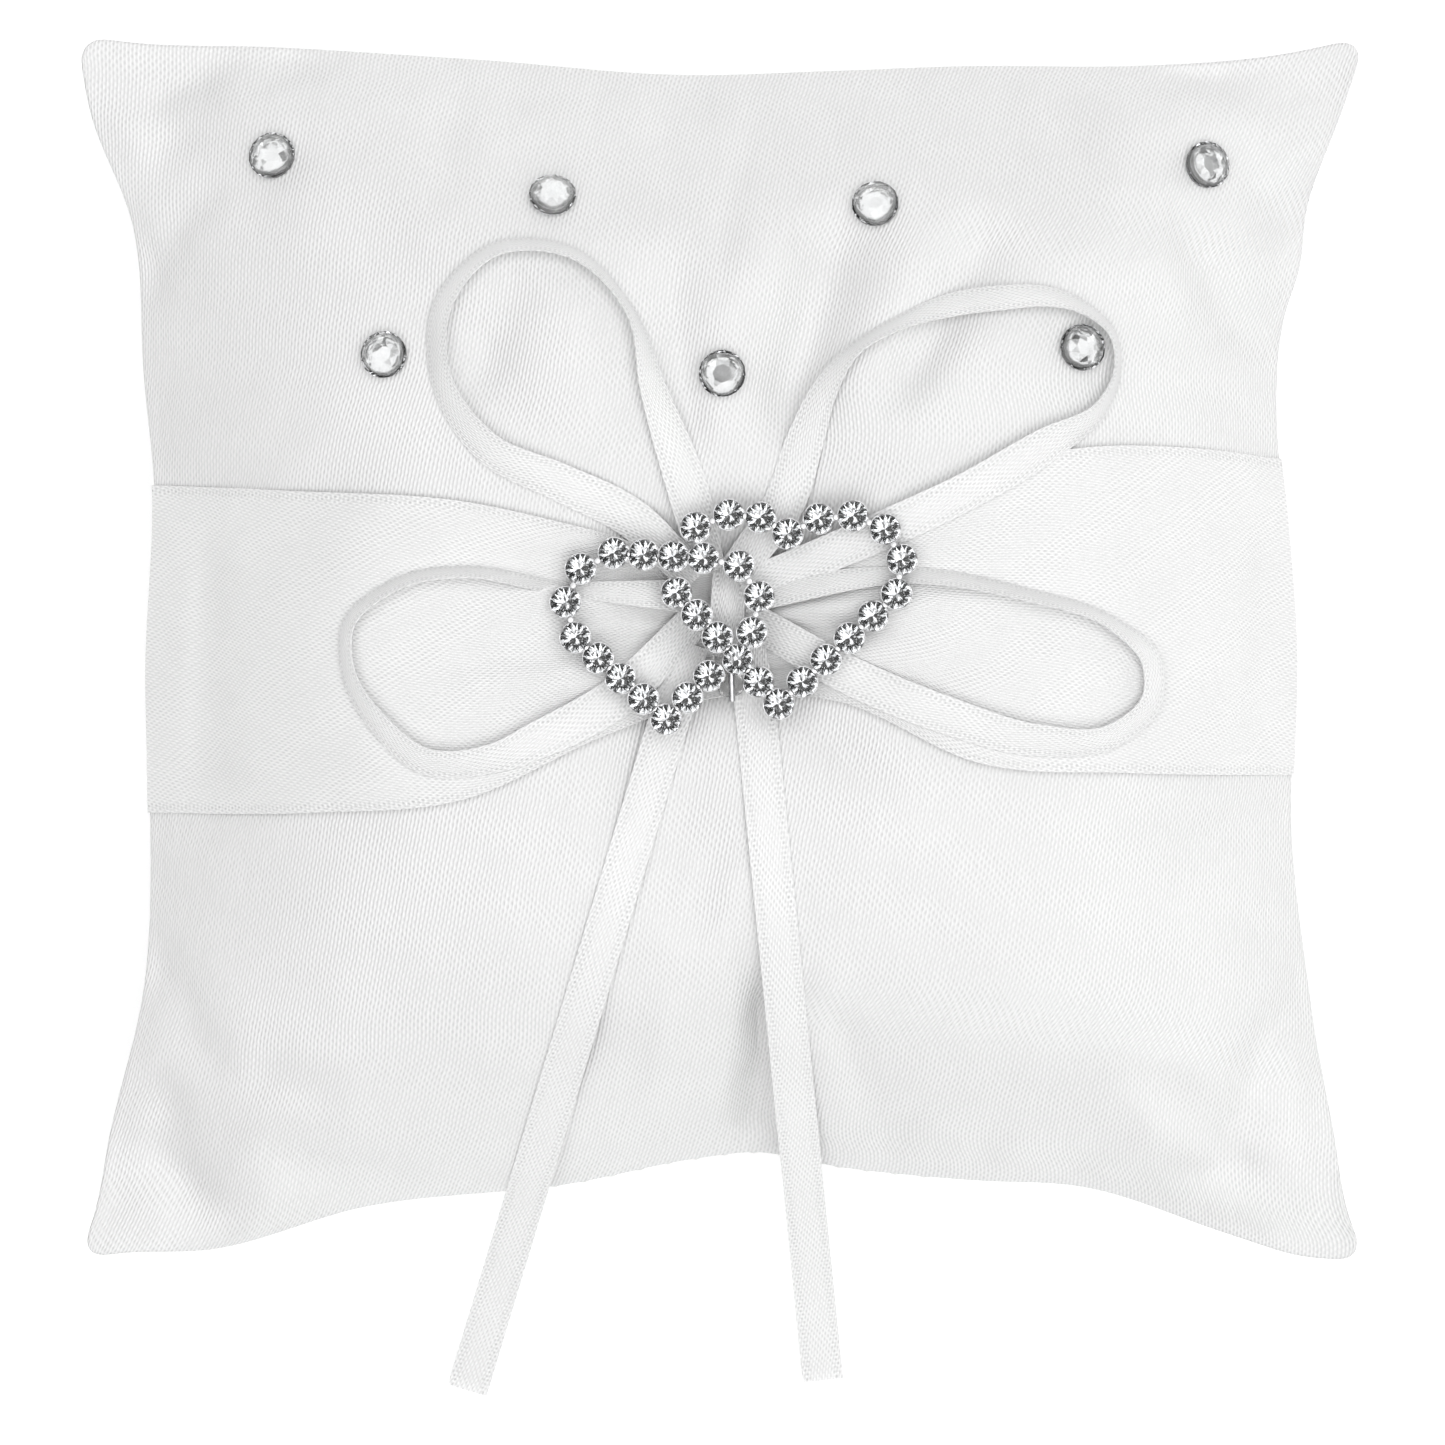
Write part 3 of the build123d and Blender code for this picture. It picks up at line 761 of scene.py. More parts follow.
def seam_stitches(path):
    """Stitches of the machine seam and, where the turning gap was, of the hand seam."""
    closed = np.vstack([path, path[:1]])
    reach = np.concatenate([[0], np.cumsum(np.linalg.norm(np.diff(closed, axis=0), axis=1))])
    machine = Shape()
    hand = Shape()
    arch = np.sin(np.linspace(0, math.pi, STITCH_POINTS))
    place = 0.0
    number = 0
    while place + STITCH < reach[-1]:
        stops = np.linspace(place, place + STITCH, STITCH_POINTS)
        run = np.stack([np.interp(stops, reach, closed[:, k]) for k in range(3)], axis=1)
        by_hand = run[0][1] < 0 and abs(run[:, 0].mean()) < HAND_GAP / 2
        if by_hand:
            slant = HAND_SLANT * (1 if number % 2 else -1)
            run[:, 2] += np.linspace(-slant, slant, STITCH_POINTS)
            run[:, 1] -= HAND_BULGE * arch
        else:
            run[:, 2] += STITCH_ARCH * arch
        (hand if by_hand else machine).add(*tube(run, SEAM_THREAD))
        place += STITCH + STITCH_GAP
        number += 1
    return machine, hand


front_grid, back_grid = make_cover()
wad = fibre_wad(front_grid, back_grid)
settle(wad, "pillow", "polyester_fibre", "fibre_filling")
machine, hand = seam_stitches(seam_path(front_grid))
settle(make_piece("machine_stitches", machine, [spun_thread]), "pillow", "white_thread", "edge_seam_thread")
settle(make_piece("hand_stitches", hand, [spun_thread]), "pillow", "white_thread", "closing_stitches")
front_cloth = cover_panel("front_cloth", front_grid, 1)
settle(front_cloth, "pillow", "pillow_satin", "front_panel")
back_cloth = cover_panel("back_cloth", back_grid, -1)
settle(back_cloth, "pillow", "pillow_satin", "back_panel")
front_tree = tree_of(front_cloth)

# ------------------------------------------------------------------ wide band
BAND_TOP = [
    (-47, 12.9), (-34, 12.3), (-20, 11.4), (-10.5, 9.3), (0, 6.6),
    (13, 10.4), (27, 15.5), (36, 15.7), (47, 14.3),
]
BAND_BOTTOM = [
    (-47, -12.9), (-32, -12.9), (-20, -11.8), (-9, -6.8), (0, -3.8),
    (9, -4.2), (20, -9), (32, -9.8), (47, -10),
]
BAND_STATIONS = 170
BAND_ROWS = 44
BAND_THICKNESS = 0.16
BAND_GAP = 0.08
BAND_LIFT = 0.3  # how far the band stands off the pillow away from its ends
BAND_LIFT_X = 46  # from here inwards it lifts
BAND_LIFT_RUN = 20  # and over this distance it comes to its full lift
BAND_END_INSET = 0.5  # last place on the pillow, from the sewn edge
BAND_END_RISE = 0.6  # height of its ends above the seam
BAND_OVERHANG = 0.08  # how far its fold stands out over the sewn edge
BAND_TUCK = 0.05  # how far its turned-in end lies inside the sewn edge, and above the seam
WAIST_LIFT = 0.35  # how much further it stands off in the middle
WAIST_RUN = 12  # distance over which that fades
WAIST_X = -0.5
# Gathers: side, place across the band (-1 to 1), reach from the waist, half width, rise.
GATHERS = [
    (-1, 0.72, 27, 0.10, -0.55), (-1, 0.45, 20, 0.13, 0.5), (-1, 0.18, 17, 0.09, -0.4),
    (-1, -0.10, 24, 0.10, -0.65), (-1, -0.42, 16, 0.12, 0.45), (-1, -0.70, 17, 0.09, -0.45),
    (1, 0.70, 19, 0.10, -0.4), (1, 0.40, 30, 0.10, -0.6), (1, 0.15, 22, 0.12, 0.5),
    (1, -0.15, 16, 0.08, -0.4), (1, -0.45, 18, 0.12, 0.4), (1, -0.75, 15, 0.09, -0.4),
]


def band_relief(x, v):
    """Rise of the gathers at a place along and across the band."""
    relief = 0.0
    for side, place, reach, half, rise in GATHERS:
        t = side * (x - WAIST_X) / reach
        if t > 0:
            bend = place * (1 - 0.25 * min(t, 1.0))
            relief += rise * math.exp(-(((v - bend) / half) ** 2)) * float(ease((1.1 - t) / 0.7))
    return relief * float(ease(abs(x - WAIST_X) / 5.0))


def make_band():
    """The wide ribbon from seam to seam, with both ends turned in at the seams."""
    stations = np.linspace(-1, 1, BAND_STATIONS + 1)
    rows = np.linspace(-1, 1, BAND_ROWS + 1)
    grid = np.zeros((len(stations) + 2, len(rows), 3))
    uvs = np.zeros((len(stations) + 2, len(rows), 2))
    for j, v in enumerate(rows):
        y = 0.0
        for i, u in enumerate(stations):
            for _ in range(3):
                edge = float(seam_x(u, y))
                x = u * (edge - BAND_END_INSET)
                top = float(smooth(BAND_TOP, x))
                bottom = float(smooth(BAND_BOTTOM, x))
                y = (top + bottom) / 2 + v * (top - bottom) / 2
            level = height_on([front_tree], x, y, SEAM_LEVEL + BAND_END_RISE)
            away = float(ease((BAND_LIFT_X - abs(x)) / BAND_LIFT_RUN))
            lift = BAND_GAP + BAND_THICKNESS / 2 + WAIST_LIFT * (1 - float(ease(abs(x) / WAIST_RUN)))
            lift += BAND_LIFT * away + max(band_relief(x, v), -BAND_LIFT)
            grid[i + 1, j] = (x, y, level + lift)
            uvs[i + 1, j] = (0.0, v * BAND_HALF)
        for i, side, inner in ((0, -1, 1), (-1, 1, -2)):
            edge_y = grid[inner, j, 1]
            edge = float(seam_x(side, edge_y))
            grid[i, j] = (side * (edge - BAND_TUCK), edge_y, SEAM_LEVEL + BAND_TUCK)
            grid[inner, j] = (side * (edge + BAND_OVERHANG), edge_y, SEAM_LEVEL + BAND_END_RISE)
            uvs[i, j] = uvs[inner, j]
    reach = np.linalg.norm(np.diff(grid, axis=0), axis=2)
    run = np.vstack([np.zeros((1, len(rows))), np.cumsum(reach, axis=0)])
    uvs[:, :, 0] = run - run[len(stations) // 2][None, :]
    return make_piece("satin_band", sheet(grid, uvs, BAND_THICKNESS), [band_satin])


band = make_band()
settle(band, "pillow", "ribbon_satin", "wide_band")
band_tree = tree_of(band)
surface = [front_tree, band_tree]

# ------------------------------------------------------------------ narrow ribbon
RIBBON = 3.2
RIBBON_THICKNESS = 0.14
RIBBON_GAP = 0.14
RIBBON_CELLS = 8
BOW_MIDDLE = (-0.5, 3.8)
PINCH_RADIUS = 2.2
STACK_BASE = 25.0
STAND = 0.4  # share of its width that a ribbon on edge stands up, as it curls outwards
CURL = 0.2  # how far its middle bulges outwards, as a share of that
BELLY = 0.10  # how far a lying ribbon bulges up in its middle
LAYER = 0.24  # height that each layer of ribbon takes in the stack at the middle of the bow
LOOP_STATIONS = 150
UNDER_BROOCH = 0.35  # room between the top of a leaning ribbon and the brooch
CLEAR_OF_BROOCH = 0.12
HELD_RADIUS = 15.5  # inside this distance from the middle the brooch holds the ribbon down
STACK_RADIUS = 2.0  # up to this distance from the middle the ribbons lie on one another
STACK_RUN = 7.0  # and over this further distance they come down onto the pillow

# Each loop runs anticlockwise with its inside on the left: X, Y and the width seen from
# above, which says how far the ribbon leans up on its outer edge.
LOOPS = {
    "upper_left": [
        (-2.6, 12, 3.2), (-5.5, 20.5, 2.0), (-7.1, 26.1, 0.7), (-11.8, 30.9, 0.85), (-17.9, 31.1, 1.0),
        (-21.9, 26.7, 1.4), (-22.1, 21.5, 1.6), (-18.3, 15.6, 2.4), (-12.6, 12.9, 2.95), (-7.4, 10.35, 3.1),
    ],
    "upper_right": [
        (13.7, 9.7, 3.0), (19, 12.2, 2.9), (25.2, 15.8, 2.7), (29.7, 18.9, 1.1), (30.9, 21.7, 0.5),
        (30.5, 24.6, 0.5), (28.0, 26.7, 1.0), (25.0, 27.5, 1.6), (22.3, 27.4, 1.9), (17.9, 26.8, 1.8),
        (13.2, 25.1, 1.0), (10.2, 23.2, 1.0), (8.2, 20.5, 1.9), (6.5, 16.3, 2.9), (4.9, 11.5, 3.2),
    ],
    "lower_left": [
        (-14.1, 4.9, 1.0), (-19.6, 5.9, 0.85), (-25.6, 4.9, 0.9), (-29.3, 1.7, 0.95), (-29.3, -1.7, 1.0),
        (-26.7, -6.1, 1.6), (-23.4, -8.8, 2.0), (-17.8, -8.6, 2.3), (-14.4, -7.2, 2.9), (-8.9, -4.3, 3.2),
    ],
    "lower_right": [
        (11.1, -2.7, 3.0), (17.6, -5.3, 2.9), (24.5, -7.2, 2.5), (30.4, -6.9, 1.8), (33.6, -4, 1.6),
        (33.5, -1.0, 1.5), (30.6, 1.8, 1.0), (23.5, 4.2, 0.95), (15.8, 5.6, 1.2),
    ],
}
LAYERS = {"lower_left": 0, "lower_right": 2, "upper_left": 4, "upper_right": 6}


def centreline(points, stations):
    """Points (x, y, width) read evenly along a smooth curve through them."""
    points = np.array(points, float)
    steps = np.hypot(np.diff(points[:, 0]), np.diff(points[:, 1]))
    reach = np.concatenate([[0], np.cumsum(steps)])
    at = np.linspace(0, reach[-1], stations)
    return np.stack([smooth(list(zip(reach, points[:, k])), at) for k in range(3)], axis=1)


def evened(values, passes=3):
    """Values along a line, each drawn towards its neighbours."""
    values = np.array(values, float)
    for _ in range(passes):
        values[1:-1] = (values[:-2] + 2 * values[1:-1] + values[2:]) / 4
    return values


def ribbon_uvs(grid):
    """Distances along and across a narrow ribbon (mm)."""
    steps = np.linalg.norm(np.diff(grid[:, grid.shape[1] // 2], axis=0), axis=1)
    reach = np.concatenate([[0], np.cumsum(steps)])
    across = np.linspace(-NARROW_HALF, NARROW_HALF, grid.shape[1])
    return np.stack(np.meshgrid(reach, across, indexing="ij"), axis=2)


def towards_middle(point):
    """Place at the pinched middle of the bow for a branch that comes from a point."""
    reach = np.array([point[0] - BOW_MIDDLE[0], point[1] - BOW_MIDDLE[1]])
    reach /= np.linalg.norm(reach)
    return (BOW_MIDDLE[0] + reach[0] * PINCH_RADIUS, BOW_MIDDLE[1] + reach[1] * PINCH_RADIUS, 2.6)


def make_loop(name, points, layer):
    """One loop of the bow, lying on the pillow and leaning up on its outer edge."""
    points = [towards_middle(points[0]), *points, towards_middle(points[-1])]
    line = centreline(points, LOOP_STATIONS)
    heading = unit(np.gradient(line[:, :2], axis=0))
    inward = np.stack([-heading[:, 1], heading[:, 0]], axis=1)
    width = np.clip(line[:, 2], 0.4, RIBBON)
    outer = line[:, :2] - inward * width[:, None] / 2
    inner = line[:, :2] + inward * width[:, None] / 2
    lying = []
    for k in range(len(line)):
        places = [outer[k] + (inner[k] - outer[k]) * t for t in (0.0, 0.25, 0.5)]
        lying.append(max(height_on(surface, *p, SEAM_LEVEL) for p in places))
    lying = evened(lying, 4) + RIBBON_GAP
    distance = np.hypot(line[:, 0] - BOW_MIDDLE[0], line[:, 1] - BOW_MIDDLE[1])
    on_stack = 1 - ease((distance - STACK_RADIUS) / STACK_RUN)
    second_half = np.arange(len(line)) >= len(line) / 2
    stack = STACK_BASE + LAYER * (layer + second_half)
    lying = np.maximum(lying, lying * (1 - on_stack) + stack * on_stack)
    rise = STAND * np.sqrt(np.maximum(RIBBON**2 - width**2, 0.0))
    held = np.where(distance < HELD_RADIUS, BROOCH_LEVEL - UNDER_BROOCH - lying, RIBBON)
    rise = evened(np.minimum(rise, np.maximum(held, 0.1)), 10)
    ceiling = np.where(distance < HELD_RADIUS - 1.5, BROOCH_LEVEL - CLEAR_OF_BROOCH, 100.0)
    grid = np.zeros((len(line), RIBBON_CELLS + 1, 3))
    for j, t in enumerate(np.linspace(0, 1, RIBBON_CELLS + 1)):
        curl = CURL * math.sin(math.pi * t) * rise / RIBBON
        place = outer + (inner - outer) * t - inward * curl[:, None]
        belly = BELLY * math.sin(math.pi * t) * width / RIBBON
        level = lying + rise * t + belly
        under = [height_on(surface, *p, SEAM_LEVEL) + RIBBON_GAP for p in place]
        grid[:, j, :2] = place
        grid[:, j, 2] = np.minimum(np.maximum(level, evened(under, 2)), ceiling)
    grid[:, :, 2] = np.apply_along_axis(evened, 0, grid[:, :, 2])
    shape = sheet(grid[:, ::-1], ribbon_uvs(grid), RIBBON_THICKNESS)
    return make_piece(f"ribbon_loop_{name}", shape, [ribbon_satin])


ROOT_BEND = (-1.5, 2.5)  # where a bend would start and end, from the hinge outwards
FOLD_BEND = (0.0, 5.0)  # only beyond the hinge, so that nothing would turn down into the cloth
joints = {j["name"]: j for j in frame["joints"]}


def joint_place(name):
    """Place (m) and direction of a hinge."""
    joint = joints[name]
    return Vector(joint["pos_m"]), Vector(joint["axis"]).normalized()


def bend(piece, held, free, place, out, reach):
    """The piece stands for a free body, whose CAD part is hidden, and its transform is baked into its mesh;
    held, place, out and reach are not used.
    """
    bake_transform(piece)
    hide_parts(free)


for name, points in LOOPS.items():
    piece = make_loop(name, points, LAYERS[name])
    pivot, axis = joint_place(f"{name}_loop_lift")
    out = Vector((axis.y, -axis.x, 0)).normalized()
    tip_x, tip_y, _ = points[len(points) // 2]
    if out.dot(Vector((tip_x, tip_y, 0))) < 0:
        out = -out
    bend(piece, "pillow", f"bow_loop_{name}", pivot, out, ROOT_BEND)

# ------------------------------------------------------------------ tails
TAIL_CELLS = 120
TAIL_RUN_IN = 9.0  # how far a tail starts before its root, under the brooch
TAIL_SPLIT = 0.45  # place of the fold along the tail
TAIL_SLACK = 0.05  # room between a lying tail and the pillow, over that of a loop
TAIL_PROBE = 1.4  # distance from its middle line at which the ground is also felt
CAD_TAIL_DROP = 0.55  # the hanging ribbon lies this far below the top of the CAD tail
TAIL_LOWEST = 0.12  # height above the table
# Root, end and place in the stack of each tail.
TAILS = {
    "left_tail": ((-5.0, -8.4), (-20.1, -58.4), 1),
    "right_tail": ((2.9, -8.0), (7.9, -57.6), 3),
}


def cad_tree(*names):
    """Search tree of some CAD nodes, in mm."""
    points = []
    faces = []
    for name in names:
        base = len(points)
        mesh = frame["nodes"][name].data
        points += [v.co / MM for v in mesh.vertices]
        faces += [tuple(base + k for k in p.vertices) for p in mesh.polygons]
    return BVHTree.FromPolygons(points, faces)


def make_tail(name, root, end, layer):
    """Grid of a tail that lies on the pillow and on the CAD tail where it hangs free."""
    tree = cad_tree(name, f"{name}_end")
    root = np.array(root, float)
    end = np.array(end, float)
    heading = unit(end - root)
    side = np.array([-heading[1], heading[0]])
    first = root - heading * TAIL_RUN_IN
    places = [first + (end - first) * k / TAIL_CELLS for k in range(TAIL_CELLS + 1)]
    levels = []
    for place in places:
        ground = max(height_on(surface, *(place + side * s)) for s in (-TAIL_PROBE, 0, TAIL_PROBE))
        hung = height_on([tree], *place)
        level = max(ground + RIBBON_GAP + TAIL_SLACK, hung - CAD_TAIL_DROP)
        levels.append(level if level > -100 else 0.2)
    levels = evened(levels, 6)
    stack = STACK_BASE + LAYER * layer
    grid = np.zeros((TAIL_CELLS + 1, RIBBON_CELLS + 1, 3))
    for k, (place, level) in enumerate(zip(places, levels)):
        free = float(ease(k / 14))
        level = max(level, stack * (1 - free) + level * free)
        pinch = 1 - 0.2 * (1 - float(ease(k / 10)))
        tilt = 0.05 * math.sin(k / TAIL_CELLS * 9 + layer)
        for j, t in enumerate(np.linspace(-1, 1, RIBBON_CELLS + 1)):
            spot = place + side * t * RIBBON / 2 * pinch
            ground = height_on(surface, *spot)
            lying = level + tilt * t * (0.3 if ground > 0 else 1.0) + 0.05 * (1 - t * t)
            grid[k, j] = (*spot, max(lying, ground + RIBBON_GAP, TAIL_LOWEST))
    return grid


for name, (root, end, layer) in TAILS.items():
    grid = make_tail(name, root, end, layer)
    uvs = ribbon_uvs(grid)
    pivot, axis = joint_place(f"{name}_lift")
    fold, _ = joint_place(f"{name}_fold")
    down = (fold - pivot).normalized()
    middle = int(len(grid) * TAIL_SPLIT)
    flat = Vector((down.x, down.y, 0)).normalized()
    parts = [
        (name, slice(0, middle + 1), "pillow", pivot, ROOT_BEND),
        (f"{name}_end", slice(middle, None), name, fold, FOLD_BEND),
    ]
    for part, cut, held, place, reach in parts:
        ribbon = make_piece(f"{part}_ribbon", sheet(grid[cut], uvs[cut], RIBBON_THICKNESS), [ribbon_satin])
        bend(ribbon, held, part, place, flat, reach)


# ------------------------------------------------------------------ middle of the bow
WRAP_HALF_WIDTH = 1.35
WRAP_REACH = 3.9  # half its length, as seen from above
WRAP_BASE = 25.3
WRAP_RISE = 1.55


def make_wrap():
    """The short piece of ribbon folded over the roots and stitched down."""
    stations = np.linspace(-1, 1, 41)
    grid = np.zeros((len(stations), RIBBON_CELLS + 1, 3))
    for k, s in enumerate(stations):
        arch = math.cos(s * math.pi / 2) ** 0.6 if abs(s) < 1 else 0.0
        for j, t in enumerate(np.linspace(-1, 1, RIBBON_CELLS + 1)):
            width = WRAP_HALF_WIDTH + 0.15 * s * s
            crease = 0.10 * math.cos(t * 5.0) * arch
            x = BOW_MIDDLE[0] + 0.9 + t * width + 0.35 * s
            y = BOW_MIDDLE[1] - 0.6 + s * WRAP_REACH
            grid[k, j] = (x, y, WRAP_BASE + WRAP_RISE * arch + crease)
    shape = sheet(grid[:, ::-1], ribbon_uvs(grid), RIBBON_THICKNESS)
    return make_piece("bow_wrap", shape, [ribbon_satin])


settle(make_wrap(), "pillow", "ribbon_satin", "bow_knot")


GATHER_ROWS = (-0.7, 0.7)  # X of the two rows
GATHER_STITCHES = 5
GATHER_PITCH = 1.6
GATHER_STITCH = 1.1


def make_gather_stitches():
    """Two rows of small stitches across the waist of the band."""
    shape = Shape()
    for x in GATHER_ROWS:
        for k in range(GATHER_STITCHES):
            y = TUFT[1] - 3.2 + k * GATHER_PITCH
            level = height_on(surface, x, y) + 0.05
            run = []
            for t in (0, 0.25, 0.5, 0.75, 1):
                run.append((x, y + GATHER_STITCH * t, level + 0.1 * math.sin(math.pi * t)))
            shape.add(*tube(run, 0.12))
    return make_piece("gather_stitches", shape, [spun_thread])


settle(make_gather_stitches(), "pillow", "white_thread", "band_gather_thread")


# ------------------------------------------------------------------ brooch
def stone_places(node):
    """Middle of each stone of a CAD group, as (x, y)."""
    mesh = frame["nodes"][node].data
    points = np.array([v.co for v in mesh.vertices]) / MM
    group = list(range(len(points)))

    def find(k):
        while group[k] != k:
            group[k] = group[group[k]]
            k = group[k]
        return k

    keys = {}
    for k, p in enumerate(points):
        keys.setdefault(tuple(np.round(p, 3)), k)
        group[k] = find(keys[tuple(np.round(p, 3))])
    for edge in mesh.edges:
        a, b = find(edge.vertices[0]), find(edge.vertices[1])
        group[a] = b
    islands = {}
    for k in range(len(points)):
        islands.setdefault(find(k), []).append(points[k])
    places = []
    for island in islands.values():
        x, y = ((np.min(island, axis=0) + np.max(island, axis=0)) / 2)[:2]
        if all(math.hypot(x - a, y - b) > 1.0 for a, b in places):
            places.append((float(x), float(y)))
    return places


def ring(count, offset, radius, height, turn=0.0):
    """Points evenly round the Z axis, shifted by a share of a step and turned by an angle."""
    angles = [turn + (k + offset) * 2 * math.pi / count for k in range(count)]
    return [(radius * math.cos(a), radius * math.sin(a), height) for a in angles]


def crown_faces():
    """Table, stars, kites and small facets, from rings of 8, 8 and 16 points."""
    faces = [tuple(range(8))]
    for k in range(8):
        m = 8 + k
        g = 16 + 2 * k
        faces.append((k, m, (k + 1) % 8))
        faces.append((k, 8 + (k - 1) % 8, g, m))
        faces.append((m, g, g + 1))
        faces.append((m, g + 1, 16 + (g - 14) % 16))
    return faces


STONE = 1.18  # radius of a brooch stone
STONE_TABLE = 0.62
STONE_GIRDLE = 1.02  # heights above the foot of its cup
STONE_TOP = 1.42
STONE_CULET = 0.12
STONE_LOWER = 0.24  # share of its radius where the main facets of the back begin


def brilliant(x, y, turn):
    """Round brilliant with flat facets: its points, crown faces and pavilion faces."""
    half_step = math.cos(math.pi / 8)
    slope = (STONE_TOP - STONE_GIRDLE) / (STONE - STONE_TABLE)
    break_radius = (STONE_TABLE + STONE) / 2
    break_height = STONE_GIRDLE + (STONE - break_radius * half_step) * slope
    low_height = STONE_CULET + STONE_LOWER * half_step * (STONE_GIRDLE - STONE_CULET)
    points = ring(8, 0, STONE_TABLE, STONE_TOP, turn) + ring(8, 0.5, break_radius, break_height, turn)
    points += ring(16, 0, STONE, STONE_GIRDLE, turn)
    points += ring(8, 0.5, STONE * STONE_LOWER, low_height, turn)
    points.append((0.0, 0.0, STONE_CULET))
    pavilion = []
    for k in range(8):
        g = 16 + 2 * k
        p = 32 + k
        pavilion.append((g + 1, g, p))
        pavilion.append((16 + (g - 14) % 16, g + 1, p))
        pavilion.append((g, 32 + (k - 1) % 8, 40, p))
    points = [(x + a, y + b, BROOCH_LEVEL + c) for a, b, c in points]
    return points, crown_faces(), pavilion


def make_stones(name, places):
    """The cut stones of one heart, with foil behind."""
    shape = Shape()
    for x, y in places:
        points, crown, pavilion = brilliant(x, y, random.uniform(0, math.pi / 4))
        shape.add(points, crown, second=pavilion)
    return make_piece(name, shape, [glass, foil], 5)


def cup(x, y, turn):
    """Turned cup with four prongs that grip the stone."""
    sides = 24
    points = []
    for k in range(sides):
        angle = turn + 2 * math.pi * k / sides
        prong = max(0.0, math.cos(4 * (angle - turn))) ** 3
        section = [
            (0.25, 0.0), (0.85, 0.0), (1.15, 0.25), (1.23, 0.6), (1.24, 0.92),
            (1.24 - 0.06 * prong, 0.98 + 0.22 * prong), (1.20 - 0.14 * prong, 0.98 + 0.19 * prong),
            (1.195, 0.9), (0.78, 0.5), (0.2, 0.06),
        ]
        for r, z in section:
            points.append((x + r * math.cos(angle), y + r * math.sin(angle), BROOCH_LEVEL + z))
    rows = 10
    faces = []
    for k in range(sides):
        n = (k + 1) % sides
        for j in range(rows):
            m = (j + 1) % rows
            faces.append((k * rows + j, n * rows + j, n * rows + m, k * rows + m))
    return points, faces


def bead(x, y, z, radius):
    """Small solder bead: an eight sided ball."""
    points = [(x, y, z - radius)]
    for row in (-0.5, 0.3):
        level = z + radius * math.sin(row * 1.6)
        points += [(x + a, y + b, level) for a, b, _ in ring(8, 0, radius * math.cos(row), 0.0)]
    points.append((x, y, z + radius))
    faces = []
    for k in range(8):
        n = (k + 1) % 8
        faces.append((0, 1 + n, 1 + k))
        faces.append((1 + k, 1 + n, 9 + n, 9 + k))
        faces.append((9 + k, 9 + n, 17))
    return points, faces


LINK_REACH = 5.2  # longest distance that a link spans
RAIL = 0.22  # radius of the rails between the cups, and their height
BEAD = 0.30  # radius of the solder beads
BEAD_LEVEL = 0.85


def chain_links(places, stones):
    """Pairs of neighbours in a chain, leaving out those that another stone stands between."""
    pairs = set()
    for a, (ax, ay) in enumerate(places):
        nearest = sorted((math.hypot(bx - ax, by - ay), b) for b, (bx, by) in enumerate(places))
        for _, b in nearest[1:3]:
            bx, by = places[b]
            clear = min(math.hypot((ax + bx) / 2 - x, (ay + by) / 2 - y) for x, y in stones)
            if math.hypot(bx - ax, by - ay) < LINK_REACH and clear > 1.0:
                pairs.add((min(a, b), max(a, b)))
    return sorted(pairs)


BAR = ((0.75, -4.2), (0.65, -0.1))  # ends of the bar that joins the two hearts
BAR_LEVEL = 0.3
BAR_RADIUS = 0.25


def make_frame(hearts):
    """Cups, rails, solder beads and the bar: all that holds the stones."""
    shape = Shape()
    for places in hearts:
        for x, y in places:
            shape.add(*cup(x, y, random.uniform(0, math.pi / 2)))
        for a, b in chain_links(places, hearts[0] + hearts[1]):
            (ax, ay), (bx, by) = places[a], places[b]
            rail = [(ax + (bx - ax) * t, ay + (by - ay) * t, BROOCH_LEVEL + RAIL) for t in (0.3, 0.5, 0.7)]
            shape.add(*tube(rail, RAIL, 8))
            shape.add(*bead((ax + bx) / 2, (ay + by) / 2, BROOCH_LEVEL + BEAD_LEVEL, BEAD))
    bar = [(x, y, BROOCH_LEVEL + BAR_LEVEL) for x, y in BAR]
    shape.add(*tube(bar, BAR_RADIUS, 10))
    return make_piece("soldered_frame", shape, [silver], 50)


left_places = stone_places("left_heart_stones")
right_places = stone_places("right_heart_stones")
settle(make_stones("left_heart_brilliants", left_places), "pillow", "cut_glass", "left_heart_stones")
settle(make_stones("right_heart_brilliants", right_places), "pillow", "cut_glass", "right_heart_stones")
settle(make_frame([left_places, right_places]), "pillow", "silver_plate", "brooch_frame")


GLUE_RADIUS = 0.95
GLUE_LENGTH = 1.15  # its length as a share of its width
GLUE_LEVEL = 27.2
GLUE_HALF_HEIGHT = 0.85
GLUE_DROP = 2.4  # how far it shows below the middle of the CAD glue
GLUE_RINGS = 11
GLUE_SIDES = 20


def make_glue_bead():
    """Lumpy clear bead that shows below the brooch."""
    low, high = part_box("brooch_glue")
    x = (low.x + high.x) / 2 / MM
    y = (low.y + high.y) / 2 / MM - GLUE_DROP
    shape = Shape()
    points = []
    for i in range(GLUE_RINGS):
        rise = math.pi * i / (GLUE_RINGS - 1)
        for k in range(GLUE_SIDES):
            angle = 2 * math.pi * k / GLUE_SIDES
            lump = 1 + 0.12 * math.sin(2 * angle + 1) + 0.07 * math.sin(3 * angle + rise * 2)
            r = GLUE_RADIUS * lump * max(math.sin(rise), 0.02)
            z = GLUE_LEVEL - GLUE_HALF_HEIGHT * math.cos(rise) * (1 if rise > 1.57 else 0.9)
            points.append((x + r * math.cos(angle), y + GLUE_LENGTH * r * math.sin(angle), z))
    shape.add(points, ring_faces(GLUE_RINGS, GLUE_SIDES))
    return make_piece("glue_bead", shape, [glue], 80)


settle(make_glue_bead(), "pillow", "clear_glue", "brooch_glue")


# ------------------------------------------------------------------ flat-back crystals
CRYSTAL = 1.85
CRYSTAL_NAMES = [f"upper_{k}" for k in (1, 2, 3, 4)] + [f"lower_{k}" for k in (1, 2, 3)]


